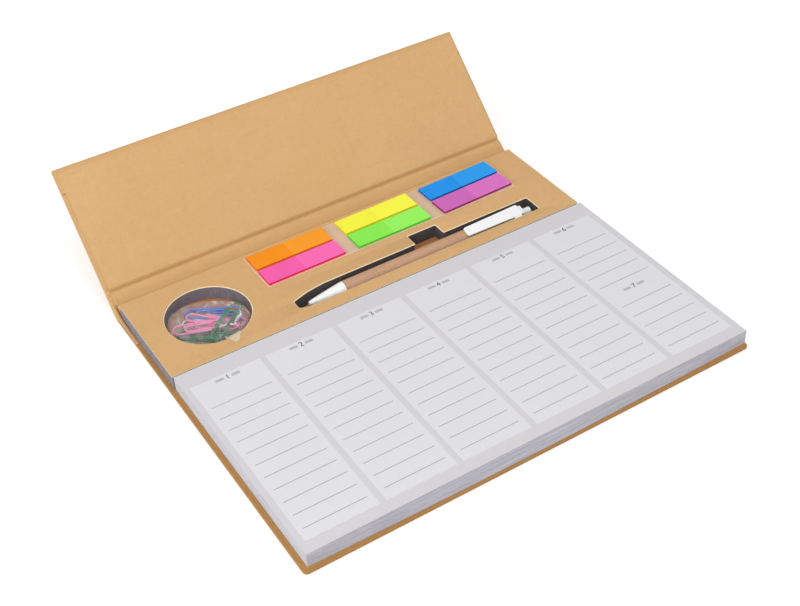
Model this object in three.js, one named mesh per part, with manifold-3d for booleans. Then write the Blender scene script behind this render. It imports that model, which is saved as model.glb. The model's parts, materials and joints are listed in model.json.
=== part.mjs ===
// A weekly planner set: a kraft-covered board case that opens like a book cover. It holds a
// pad of weekly sheets and a foam tray with a ball pen, index tabs and a bag of paper clips.
// Millimetres, +Z up, X along the case, Y from its front edge to its spine.
// The origin is the centre of the base panel's underside.
import * as THREE from 'three';
import { mergeVertices } from 'three/addons/utils/BufferGeometryUtils.js';
import Module from 'manifold-3d';

const wasm = await Module();
wasm.setup();

// Case
const boardThickness = 2.2;
const boardEdgeRound = 0.8;
const boardCornerRadius = 1.6;
const spineBehindTray = 2.3;
const hingeGap = 1.0;
const hingePaper = 0.3;
const hingePaperStop = 0.2;
const lidRoom = 2.1;
const flapShort = 0.8;
const lidLength = 68.7;
const lidLeanDeg = 43.75;
const liningThickness = 0.2;
const liningInset = 2.2;
const liningEdgeInset = 3.0;

// Pad of weekly sheets
const padDepth = 128.1;
const padHeight = 7.9;
const padLeft = 2.6;
const padRight = 0.8;
const padFront = 2.3;
const printHeight = 0.06;
const columnCount = 6;
const columnGap = 3.1;
const columnsLeft = 3.2;
const columnsRight = 3.7;
const columnsFront = 6.5;
const columnsBack = 11.3;
const ruleWidth = 0.35;
const ruleDepth = 0.04;
const ruleInset = 2.6;
const rulePitch = 8.6;
const firstRule = 6.4;
const ruleCount = 11;
const splitRule = 5;
const headingWidth = 11;
const headingHeight = 1.6;
const headingDrop = 3.9;
const splitHeadingLift = 0.2;

// Tray
const trayLeft = 2.0;
const trayRight = 2.1;
const trayPadGap = 0.5;
const foamHeight = 7.7;
const cardThickness = 0.4;
const cardOverhang = 0.25;
const holeMargin = 12.5;
const holeTowardsPad = 0.5;
const holeToSlot = 18;
const slotFromRight = 19.9;
const slotFromFront = 8.1;
const slotWidth = 11.8;
const slotEndWidth = 5.9;
const slotEndLift = 1.4;
const slotTaper = 20;
const notchFromSlotEnd = 75.7;
const notchWidth = 17.6;
const notchDepth = 8.2;
const notchToFilm = 4.5;

// Index tabs
const filmThickness = 0.2;
const filmRightMargin = 1.1;
const filmBackMargin = 0.9;
const holeToFilm = 13;
const filmFromBack = 2.8;
const tabWidth = 45.6;
const tabDepth = 12.6;
const tabHeight = 1.1;
const tabPitch = 53.4;
const tabRowGap = 1.3;
const tabFilmMargin = 0.8;

// Ball pen
const penRadius = 4.25;
const penFromSlotEnd = 7.5;
const penEndRoom = 2.2;
const penFromSlotFront = 5.6;
const penRollDeg = 18;
const penRestGap = 0.05;
const noseLength = 20.5;
const noseTipRadius = 1.7;
const noseBore = 1.25;
const springChamber = 2.2;
const chamberStart = 12.5;
const spigotRadius = 3.1;
const spigotLength = 6;
const penJoint = 0.3;
const barrelLength = 101.2;
const barrelWall = 0.85;
const capLength = 10.5;
const capBore = 3.3;
const capMouthBore = 2.6;
const capMouthLength = 1.6;
const penFit = 0.3;
const buttonRadius = 2.25;
const buttonFlange = 2.95;
const buttonFlangeLength = 1.5;
const buttonReach = 5.2;
const penClipLength = 38;
const penClipWidth = 7;
const penClipThickness = 0.9;
const penClipAir = 0.45;
const penClipOverlap = 5;
const refillRadius = 1.1;
const refillTipRadius = 0.85;
const refillTipStart = 2.5;
const refillTipLength = 10;
const refillCollar = 1.9;
const refillCollarAt = 24;
const refillCollarLength = 1;
const refillTail = 3;
const springWire = 0.2;
const springRadius = 1.65;
const springTurns = 7;

// Paper clips and their bag
const wireRadius = 0.5;
const clipLength = 28;
const clipOuterRadius = 3.3;
const clipLegGap = 1.3;
const clipStart = 9;
const clipInnerStop = 20;
const clipEnd = 8;
const clipPitch = 8.2;
const clipLayerPitch = 1.3;
const bagWall = 0.12;
const bagEndRoom = 12;
const bagSideRoom = 14;
const bagTopRoom = 0.36;
const bagHoleFit = 0.87;
const bagFloorGap = 0.05;
const bagFlatSide = 2;
const bagMouth = 22;
const bagTurnDeg = -28;

// Counts
const roundSides = 20;
const arcSteps = 48;
const tabsPerRow = 3;
const clipLayers = 5;
const clipsPerLayer = 3;

// The bag holds its clips, and the round hole holds the bag
const bagWidth = clipLength + 2 * wireRadius + bagEndRoom;
const bagDepth = (clipsPerLayer - 1) * clipPitch + 2 * (clipOuterRadius + wireRadius) + bagSideRoom;
const bagHeight = 2 * (bagWall + wireRadius) + penFit + (clipLayers - 1) * clipLayerPitch + bagTopRoom;
const bagCornerRadius = bagDepth / 2 - bagFlatSide;
const bagCorner = Math.hypot(bagWidth / 2 - bagCornerRadius, bagFlatSide);
const holeRadius = bagCorner + bagCornerRadius + bagHoleFit;

// The slot takes the pen, and the tray takes the hole, the slot and the strip of tabs
const penLength = noseLength + penJoint + barrelLength + penJoint + capLength + buttonReach;
const holeFromLeft = holeMargin + holeRadius;
const slotFromLeft = holeFromLeft + holeRadius + holeToSlot;
const slotLength = penFromSlotEnd + penLength + penEndRoom;
const filmFromLeft = holeFromLeft + holeRadius + holeToFilm;
const filmWidth = tabFilmMargin + (tabsPerRow - 1) * tabPitch + tabWidth + filmRightMargin;
const filmDepth = tabFilmMargin + 2 * tabDepth + tabRowGap + filmBackMargin;
const trayWidth = slotFromLeft + slotLength + slotFromRight;
const trayDepth = slotFromFront + slotWidth + notchDepth + notchToFilm + filmDepth + filmFromBack;
const holeFromFront = trayDepth / 2 - holeTowardsPad;
const trayFront = padFront + padDepth + trayPadGap;
const trayTop = boardThickness + foamHeight + cardThickness;

// The case takes the tray and the pad, and its lid closes over the tabs
const caseWidth = trayLeft + trayWidth + trayRight;
const spineAxisY = trayFront + trayDepth + spineBehindTray;
const caseDepth = spineAxisY - hingeGap;
const spineLength = trayTop + filmThickness + tabHeight + lidRoom;
const flapWidth = caseWidth - flapShort;
const padWidth = caseWidth - padLeft - padRight;
const columnWidth = (padWidth - columnsLeft - columnsRight - (columnCount - 1) * columnGap) / columnCount;
const columnDepth = padDepth - columnsFront - columnsBack;

const material = (color, roughness, metalness = 0) =>
  new THREE.MeshStandardMaterial({ color, roughness, metalness });
const kraft = () => material(0xd3aa76, 0.8);
const whitePlastic = () => material(0xf2f2f2, 0.35);

const named = (name, geometry, look) => {
  const mesh = new THREE.Mesh(geometry, look);
  mesh.name = name;
  return mesh;
};

// Booleans: a closed three.js geometry in and out of the solid library
const toSolid = (geometry) => {
  const bare = geometry.clone();
  bare.deleteAttribute('normal');
  bare.deleteAttribute('uv');
  const merged = mergeVertices(bare, 1e-4);
  return new wasm.Manifold(new wasm.Mesh({
    numProp: 3,
    vertProperties: new Float32Array(merged.attributes.position.array),
    triVerts: new Uint32Array(merged.index.array),
  }));
};

const toGeometry = (solid) => {
  const result = solid.getMesh();
  const geometry = new THREE.BufferGeometry();
  geometry.setAttribute('position', new THREE.BufferAttribute(result.vertProperties, 3));
  geometry.setIndex(new THREE.BufferAttribute(result.triVerts, 1));
  return geometry;
};

// A box given by its low corner and its size
const block = (x, y, z, width, depth, height) =>
  new THREE.BoxGeometry(width, depth, height).translate(x + width / 2, y + depth / 2, z + height / 2);

const roundedRectangle = (width, depth, radius) => {
  const shape = new THREE.Shape();
  shape.moveTo(radius, 0);
  shape.lineTo(width - radius, 0);
  shape.absarc(width - radius, radius, radius, -Math.PI / 2, 0);
  shape.lineTo(width, depth - radius);
  shape.absarc(width - radius, depth - radius, radius, 0, Math.PI / 2);
  shape.lineTo(radius, depth);
  shape.absarc(radius, depth - radius, radius, Math.PI / 2, Math.PI);
  shape.lineTo(0, radius);
  shape.absarc(radius, radius, radius, Math.PI, Math.PI * 1.5);
  return shape;
};

// A board wrapped in kraft paper: low corner at the origin, edges and corners rounded
const wrappedBoard = (width, depth) => {
  const core = roundedRectangle(width - 2 * boardEdgeRound, depth - 2 * boardEdgeRound,
    boardCornerRadius - boardEdgeRound);
  const geometry = new THREE.ExtrudeGeometry(core, {
    depth: boardThickness - 2 * boardEdgeRound,
    bevelSize: boardEdgeRound,
    bevelThickness: boardEdgeRound,
    bevelSegments: 3,
    curveSegments: 5,
  });
  return geometry.translate(boardEdgeRound, boardEdgeRound, boardEdgeRound);
};

// The cover paper runs on past a board's edge towards the hinge line and stops just short of it
const hingeFlange = (width, boardEdge, direction) => {
  const reach = hingeGap + boardEdgeRound - hingePaperStop;
  const start = direction > 0 ? boardEdge - boardEdgeRound : boardEdge + boardEdgeRound - reach;
  return toSolid(block(boardCornerRadius, start, (boardThickness - hingePaper) / 2,
    width - 2 * boardCornerRadius, reach, hingePaper));
};

// The lining sheet stands proud of a board's inner face by its own thickness
const linedBoard = (width, depth, liningFront, liningBack) => {
  const lining = block(liningInset, liningFront, boardThickness / 2,
    width - 2 * liningInset, liningBack - liningFront, boardThickness / 2 + liningThickness);
  return toSolid(wrappedBoard(width, depth)).add(toSolid(lining)).add(hingeFlange(width, 0, -1));
};

// Case: the base lies flat, and the spine strip and the lid hang on it in a chain of two hinges
const makeCase = () => {
  const group = new THREE.Group();
  const base = toSolid(wrappedBoard(caseWidth, caseDepth)).add(hingeFlange(caseWidth, caseDepth, 1));
  group.add(named('base_panel', toGeometry(base), kraft()));

  const spineHinge = new THREE.Group();
  spineHinge.position.set(0, spineAxisY, boardThickness / 2);
  spineHinge.rotation.x = THREE.MathUtils.degToRad(lidLeanDeg);
  group.add(spineHinge);
  const spineDepth = spineLength - 2 * hingeGap;
  const strip = linedBoard(flapWidth, spineDepth, boardEdgeRound, spineDepth - boardEdgeRound)
    .add(hingeFlange(flapWidth, spineDepth, 1));
  const spine = named('spine_strip', toGeometry(strip), kraft());
  spine.position.set(0, hingeGap, -boardThickness / 2);
  spineHinge.add(spine);

  const lidHinge = new THREE.Group();
  lidHinge.position.y = spineLength;
  spineHinge.add(lidHinge);
  const lidDepth = lidLength - hingeGap;
  const panel = linedBoard(flapWidth, lidDepth, boardEdgeRound, lidDepth - liningEdgeInset);
  const lid = named('lid_panel', toGeometry(panel), kraft());
  lid.position.set(0, hingeGap, -boardThickness / 2);
  lidHinge.add(lid);
  return group;
};

// Pad: the block of sheets, with the printed week as low raised fields and shallow ruled lines
const makePad = () => {
  const sheetTop = padHeight - printHeight;
  let pad = toSolid(block(0, 0, 0, padWidth, padDepth, sheetTop));
  const lineDepth = (rule) => block(rule.x, rule.y, padHeight - ruleDepth,
    columnWidth - 2 * ruleInset, ruleWidth, boardThickness);
  for (let column = 0; column < columnCount; column += 1) {
    const x = columnsLeft + column * (columnWidth + columnGap);
    const field = block(x, columnsFront, sheetTop - boardThickness,
      columnWidth, columnDepth, boardThickness + printHeight);
    pad = pad.add(toSolid(field));
    const isSplit = column === columnCount - 1;
    for (let row = 0; row < ruleCount; row += 1) {
      const y = columnsFront + firstRule + row * rulePitch;
      if (!isSplit || row !== splitRule) {
        pad = pad.subtract(toSolid(lineDepth({ x: x + ruleInset, y })));
      }
    }
    const headings = [columnsFront + columnDepth - headingDrop];
    if (isSplit) {
      headings.push(columnsFront + firstRule + splitRule * rulePitch + splitHeadingLift);
    }
    for (const y of headings) {
      const bar = block(x + (columnWidth - headingWidth) / 2, y, padHeight - ruleDepth,
        headingWidth, headingHeight, boardThickness);
      pad = pad.subtract(toSolid(bar));
    }
  }
  const mesh = named('weekly_pad', toGeometry(pad), material(0xdfe0e3, 0.75));
  mesh.position.set(padLeft, padFront, boardThickness);
  return mesh;
};

// The cut-outs of the tray, in the tray's own frame, each grown by a margin on every side
const holePath = (margin) => {
  const path = new THREE.Path();
  path.absarc(holeFromLeft, holeFromFront, holeRadius + margin, 0, Math.PI * 2, true);
  return path;
};

const slotPath = (margin) => {
  const left = slotFromLeft - margin;
  const right = slotFromLeft + slotLength + margin;
  const front = slotFromFront - margin;
  const back = slotFromFront + slotWidth + margin;
  const notchLeft = slotFromLeft + notchFromSlotEnd - margin;
  const notchRight = slotFromLeft + notchFromSlotEnd + notchWidth + margin;
  const endFront = slotFromFront + slotEndLift - margin;
  const path = new THREE.Path();
  path.moveTo(left, endFront);
  path.lineTo(left, endFront + slotEndWidth + 2 * margin);
  path.lineTo(left + slotTaper / 2, back - slotEndLift);
  path.lineTo(left + slotTaper, back);
  path.lineTo(notchLeft, back);
  path.lineTo(notchLeft, back + notchDepth);
  path.lineTo(notchRight, back + notchDepth);
  path.lineTo(notchRight, back);
  path.lineTo(right, back);
  path.lineTo(right, front);
  path.lineTo(left + slotTaper / 4, front);
  path.lineTo(left, endFront);
  return path;
};

const trayLayer = (margin, height) => {
  const outline = new THREE.Shape();
  outline.moveTo(0, 0);
  outline.lineTo(trayWidth, 0);
  outline.lineTo(trayWidth, trayDepth);
  outline.lineTo(0, trayDepth);
  outline.lineTo(0, 0);
  outline.holes.push(holePath(margin), slotPath(margin));
  return new THREE.ExtrudeGeometry(outline, {
    depth: height, bevelEnabled: false, curveSegments: arcSteps,
  });
};

const makeTray = () => {
  const group = new THREE.Group();
  group.position.set(trayLeft, trayFront, boardThickness);
  const foam = named('tray_foam', trayLayer(cardOverhang, foamHeight), material(0x77777f, 0.9));
  const card = named('tray_card', trayLayer(0, cardThickness), kraft());
  card.position.z = foamHeight;
  group.add(foam, card);
  return group;
};

// Index tabs: two rows of three stacks on one film strip
const makeTabs = () => {
  const colours = [
    ['tab_pink', 0xff58af], ['tab_green', 0x70eb4b], ['tab_purple', 0xcb62bc],
    ['tab_orange', 0xff911e], ['tab_yellow', 0xffff2d], ['tab_blue', 0x238fee],
  ];
  const group = new THREE.Group();
  group.position.set(trayLeft + filmFromLeft, trayFront + trayDepth - filmFromBack - filmDepth, trayTop);
  group.add(named('tab_backing', block(0, 0, 0, filmWidth, filmDepth, filmThickness),
    material(0xeadfd8, 0.3)));
  colours.forEach(([name, colour], index) => {
    const column = index % tabsPerRow;
    const row = Math.floor(index / tabsPerRow);
    const tab = named(name, block(0, 0, 0, tabWidth, tabDepth, tabHeight), material(colour, 0.45));
    tab.position.set(tabFilmMargin + column * tabPitch,
      tabFilmMargin + row * (tabDepth + tabRowGap), filmThickness);
    group.add(tab);
  });
  return group;
};

// A turned piece along +X from a profile of [distance along the axis, radius] pairs that
// runs forwards along the outside and back along the bore
const turned = (profile) => {
  const points = profile.map(([along, radius]) => new THREE.Vector2(radius, along));
  points.push(points[0].clone());
  return new THREE.LatheGeometry(points, roundSides).rotateZ(-Math.PI / 2);
};

const penNose = () => turned([
  [0, noseBore], [0, noseTipRadius], [noseLength, penRadius], [noseLength, spigotRadius],
  [noseLength + spigotLength, spigotRadius], [noseLength + spigotLength, springChamber],
  [chamberStart, springChamber], [chamberStart, noseBore],
]);

const penBarrel = () => turned([
  [0, penRadius - barrelWall], [0, penRadius],
  [barrelLength, penRadius], [barrelLength, penRadius - barrelWall],
]);

const penCap = () => {
  const sleeve = turned([
    [-spigotLength, capMouthBore], [-spigotLength, spigotRadius],
    [0, spigotRadius], [0, penRadius], [capLength, penRadius],
    [capLength, capMouthBore], [capLength - capMouthLength, capMouthBore],
    [capLength - capMouthLength, capBore], [penFit, capBore], [penFit, capMouthBore],
  ]);
  const blade = roundedRectangle(penClipLength, penClipWidth, penClipWidth / 3);
  const bladeSolid = new THREE.ExtrudeGeometry(blade, {
    depth: penClipThickness, bevelEnabled: false, curveSegments: 4,
  });
  bladeSolid.translate(capLength - penClipLength, -penClipWidth / 2, penRadius + penClipAir);
  const bridge = block(capLength - penClipOverlap, -penClipWidth / 4, capBore + penFit,
    penClipOverlap - capMouthLength, penClipWidth / 2,
    penRadius - capBore - penFit + penClipAir + penClipThickness / 2);
  return toGeometry(toSolid(sleeve).add(toSolid(bladeSolid)).add(toSolid(bridge)));
};

const penButton = () => {
  const stemEnd = capLength - capMouthLength - penFit - buttonFlangeLength;
  const end = capLength + buttonReach;
  return turned([
    [stemEnd, 0], [stemEnd, buttonFlange], [stemEnd + buttonFlangeLength, buttonFlange],
    [stemEnd + buttonFlangeLength, buttonRadius],
    [end - penFit, buttonRadius], [end, buttonRadius - penFit], [end, 0],
  ]);
};

// The refill reaches from behind the nose's mouth to just short of the button
const penRefill = (tailEnd) => turned([
  [refillTipStart, 0], [refillTipStart, noseTipRadius / 4],
  [refillTipStart + refillTail, refillTipRadius],
  [refillTipStart + refillTipLength, refillTipRadius],
  [refillTipStart + refillTipLength, refillRadius], [refillCollarAt, refillRadius],
  [refillCollarAt, refillCollar], [refillCollarAt + refillCollarLength, refillCollar],
  [refillCollarAt + refillCollarLength, refillRadius],
  [tailEnd, refillRadius], [tailEnd, 0],
]);

class Helix extends THREE.Curve {
  constructor(radius, turns, start, end) {
    super();
    Object.assign(this, { radius, turns, start, end });
  }

  getPoint(t, target = new THREE.Vector3()) {
    const angle = t * this.turns * Math.PI * 2;
    return target.set(THREE.MathUtils.lerp(this.start, this.end, t),
      Math.cos(angle) * this.radius, Math.sin(angle) * this.radius);
  }
}

const wireSection = (radius, sides) => {
  const section = new THREE.Shape();
  for (let side = 0; side < sides; side += 1) {
    const angle = (side / sides) * Math.PI * 2;
    const move = side === 0 ? 'moveTo' : 'lineTo';
    section[move](Math.cos(angle) * radius, Math.sin(angle) * radius);
  }
  section.closePath();
  return section;
};

const penSpring = () => {
  const start = chamberStart + penFit + springWire;
  const end = refillCollarAt - penFit - springWire;
  return new THREE.ExtrudeGeometry(wireSection(springWire, 4), {
    steps: springTurns * 10,
    bevelEnabled: false,
    extrudePath: new Helix(springRadius, springTurns, start, end),
  });
};

const makePen = () => {
  const pen = new THREE.Group();
  pen.position.set(trayLeft + slotFromLeft + penFromSlotEnd,
    trayFront + slotFromFront + penFromSlotFront, boardThickness + penRestGap + penRadius);
  pen.rotation.x = THREE.MathUtils.degToRad(penRollDeg);
  const barrelStart = noseLength + penJoint;
  const capStart = barrelStart + barrelLength + penJoint;
  const barrel = named('pen_barrel', penBarrel(), material(0xb28768, 0.75));
  barrel.position.x = barrelStart;
  const cap = named('pen_cap', penCap(), whitePlastic());
  cap.position.x = capStart;
  const button = named('pen_button', penButton(), whitePlastic());
  button.position.x = capStart;
  const buttonInner = penLength - buttonReach - capMouthLength - penFit - buttonFlangeLength;
  pen.add(named('pen_nose', penNose(), whitePlastic()), barrel, cap, button);
  pen.add(named('pen_refill', penRefill(buttonInner - penFit), material(0x8c8f96, 0.4)));
  pen.add(named('pen_spring', penSpring(), material(0xc8c8cc, 0.3, 1)));
  return pen;
};

// A wire paper clip, flat in its own XY plane, bent as three loops inside each other
const paperClip = () => {
  const innerTop = clipOuterRadius - clipLegGap;
  const innerBottom = -innerTop;
  const outerBottom = -clipOuterRadius;
  const farCentre = clipLength - clipOuterRadius;
  const nearRadius = (innerTop - outerBottom) / 2;
  const nearMiddle = (innerTop + outerBottom) / 2;
  const path = new THREE.Path();
  path.moveTo(clipStart, clipOuterRadius);
  path.lineTo(farCentre, clipOuterRadius);
  path.absarc(farCentre, 0, clipOuterRadius, Math.PI / 2, -Math.PI / 2, true);
  path.lineTo(nearRadius, outerBottom);
  path.absarc(nearRadius, nearMiddle, nearRadius, -Math.PI / 2, Math.PI / 2, true);
  path.lineTo(clipInnerStop, innerTop);
  path.absarc(clipInnerStop, 0, innerTop, Math.PI / 2, -Math.PI / 2, true);
  path.lineTo(clipEnd, innerBottom);
  const flat = path.getSpacedPoints(56).map((point) => new THREE.Vector3(point.x, point.y, 0));
  const geometry = new THREE.ExtrudeGeometry(wireSection(wireRadius, 6), {
    steps: 38,
    bevelEnabled: false,
    extrudePath: new THREE.CatmullRomCurve3(flat, false, 'centripetal'),
  });
  return geometry.translate(-clipLength / 2, 0, 0);
};

// The clips lie in layers. Each layer has a turn, and each clip its shift along the turn, its
// place across it in clip pitches, and which end leads.
const makeClips = () => {
  const [pink, green, blue, white] = [0xf48fbf, 0x2fa463, 0x5b7fd8, 0xf1f1f1];
  const layers = [
    { turnDeg: -41, clips: [
      { name: 'clip_green_1', colour: green, along: 0, place: -1, turned: false },
      { name: 'clip_white_1', colour: white, along: 0, place: 0, turned: true },
      { name: 'clip_blue_1', colour: blue, along: 0, place: 1, turned: false },
    ] },
    { turnDeg: -30, clips: [
      { name: 'clip_green_2', colour: green, along: -1, place: -1, turned: true },
      { name: 'clip_pink_1', colour: pink, along: 3.9, place: 0, turned: false },
      { name: 'clip_blue_2', colour: blue, along: 1, place: 1, turned: true },
    ] },
    { turnDeg: -50, clips: [
      { name: 'clip_pink_2', colour: pink, along: 1.5, place: 0.13, turned: false },
    ] },
    { turnDeg: -21, clips: [
      { name: 'clip_pink_3', colour: pink, along: -4.2, place: -0.58, turned: true },
    ] },
    { turnDeg: 37, clips: [
      { name: 'clip_green_3', colour: green, along: 0.4, place: -1.13, turned: false },
    ] },
  ];
  const group = new THREE.Group();
  const firstLayer = bagFloorGap + bagWall + penFit + wireRadius;
  layers.forEach((layer, level) => {
    const layerGroup = new THREE.Group();
    layerGroup.position.z = firstLayer + level * clipLayerPitch;
    layerGroup.rotation.z = THREE.MathUtils.degToRad(layer.turnDeg);
    layer.clips.forEach(({ name, colour, along, place, turned: isTurned }) => {
      const clip = named(name, paperClip(), material(colour, 0.35));
      clip.position.set(along, place * clipPitch, 0);
      clip.rotation.z = isTurned ? Math.PI : 0;
      layerGroup.add(clip);
    });
    group.add(layerGroup);
  });
  return group;
};

// The bag is a film pouch pushed into the round hole, with its mouth in the right-hand wall
const clipBag = () => {
  const pouch = (width, depth, height, radius) => new THREE.ExtrudeGeometry(
    roundedRectangle(width, depth, radius), { depth: height, bevelEnabled: false, curveSegments: 10 },
  ).translate(-width / 2, -depth / 2, 0);
  const outer = pouch(bagWidth, bagDepth, bagHeight, bagCornerRadius);
  const inner = pouch(bagWidth - 2 * bagWall, bagDepth - 2 * bagWall, bagHeight - 2 * bagWall,
    bagCornerRadius - bagWall).translate(0, 0, bagWall);
  const mouth = block(0, -bagMouth / 2, bagWall, bagWidth, bagMouth, bagHeight - 2 * bagWall);
  return toGeometry(toSolid(outer).subtract(toSolid(inner)).subtract(toSolid(mouth)));
};

const makeBagOfClips = () => {
  const group = new THREE.Group();
  group.position.set(trayLeft + holeFromLeft, trayFront + holeFromFront, boardThickness);
  const bag = named('clip_bag', clipBag(), material(0xdfe6ea, 0.15));
  bag.position.z = bagFloorGap;
  bag.rotation.z = THREE.MathUtils.degToRad(bagTurnDeg);
  group.add(bag, makeClips());
  return group;
};

const planner = new THREE.Group();
const assembly = new THREE.Group();
assembly.position.set(-caseWidth / 2, -caseDepth / 2, 0);
assembly.add(makeCase(), makePad(), makeTray(), makeTabs(), makePen(), makeBagOfClips());
planner.add(assembly);

export default planner;
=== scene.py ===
"""A weekly planner in a kraft-covered board case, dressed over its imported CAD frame.

The case opens like a book cover. Its base carries a pad of weekly sheets and a foam tray with
a ball pen, six stacks of index tabs and a pouch of paper clips. One kraft sheet lines the
tray, the spine and the lid.

Sizes are plan millimetres, measured from the base's front left corner on its underside.
Finished meshes are in metres, with the origin at the centre of the base's underside.
"""

import json
import logging
import math
from collections.abc import Callable, Sequence
from dataclasses import dataclass, field
from enum import Enum

import bmesh
import bpy
from mathutils import Matrix, Vector, noise
from mathutils.geometry import tessellate_polygon

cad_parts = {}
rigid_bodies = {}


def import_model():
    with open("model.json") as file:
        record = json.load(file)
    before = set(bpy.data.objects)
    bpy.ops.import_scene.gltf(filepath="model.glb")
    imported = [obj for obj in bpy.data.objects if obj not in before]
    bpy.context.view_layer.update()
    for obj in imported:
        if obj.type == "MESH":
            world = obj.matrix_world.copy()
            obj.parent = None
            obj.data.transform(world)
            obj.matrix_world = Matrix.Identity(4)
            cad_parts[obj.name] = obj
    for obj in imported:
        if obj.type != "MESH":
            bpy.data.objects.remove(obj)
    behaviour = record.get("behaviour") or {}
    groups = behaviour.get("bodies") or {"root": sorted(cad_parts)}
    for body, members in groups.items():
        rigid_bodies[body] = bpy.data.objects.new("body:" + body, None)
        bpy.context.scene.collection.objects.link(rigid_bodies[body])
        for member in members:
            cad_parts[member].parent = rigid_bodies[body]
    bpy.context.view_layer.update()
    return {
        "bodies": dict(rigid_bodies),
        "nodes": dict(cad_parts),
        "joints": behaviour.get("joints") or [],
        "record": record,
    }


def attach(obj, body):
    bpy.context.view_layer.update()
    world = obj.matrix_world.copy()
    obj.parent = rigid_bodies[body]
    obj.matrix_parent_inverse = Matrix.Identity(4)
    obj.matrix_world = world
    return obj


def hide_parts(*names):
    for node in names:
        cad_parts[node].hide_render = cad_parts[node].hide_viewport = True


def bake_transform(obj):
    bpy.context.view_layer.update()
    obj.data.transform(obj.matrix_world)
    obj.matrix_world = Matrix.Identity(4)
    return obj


LOG = logging.getLogger("planner")
MM = 0.001
PLAN_ORIGIN = Vector((123.0, 97.9, 0.0))

EDGE_STEPS = 5
CORNER_STEPS = 6
FILLET_STEPS = 8
ARC_STEPS = 14
TURNED_SIDES = 56
CIRCLE_SIDES = 160

Outline = list[tuple[float, float]]
Colour = tuple[int, int, int]
PURE_WHITE: Colour = (255, 255, 255)


def linear(colour: Colour) -> tuple[float, float, float, float]:
    """Turn a colour as a screen shows it into the light values that a shader takes.

    Args:
        colour: Red, green and blue from 0 to 255.

    Returns:
        The same colour as linear values, with an alpha of 1.
    """
    values = []
    for part in colour:
        share = part / 255
        values.append(share / 12.92 if share <= 0.04045 else ((share + 0.055) / 1.055) ** 2.4)
    return (values[0], values[1], values[2], 1.0)


def blend_value(first: float, second: float, share: float) -> float:
    """Return the value that lies the given share of the way from first to second."""
    return first + (second - first) * share


# Shader graphs and the effects that finishes share.


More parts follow.
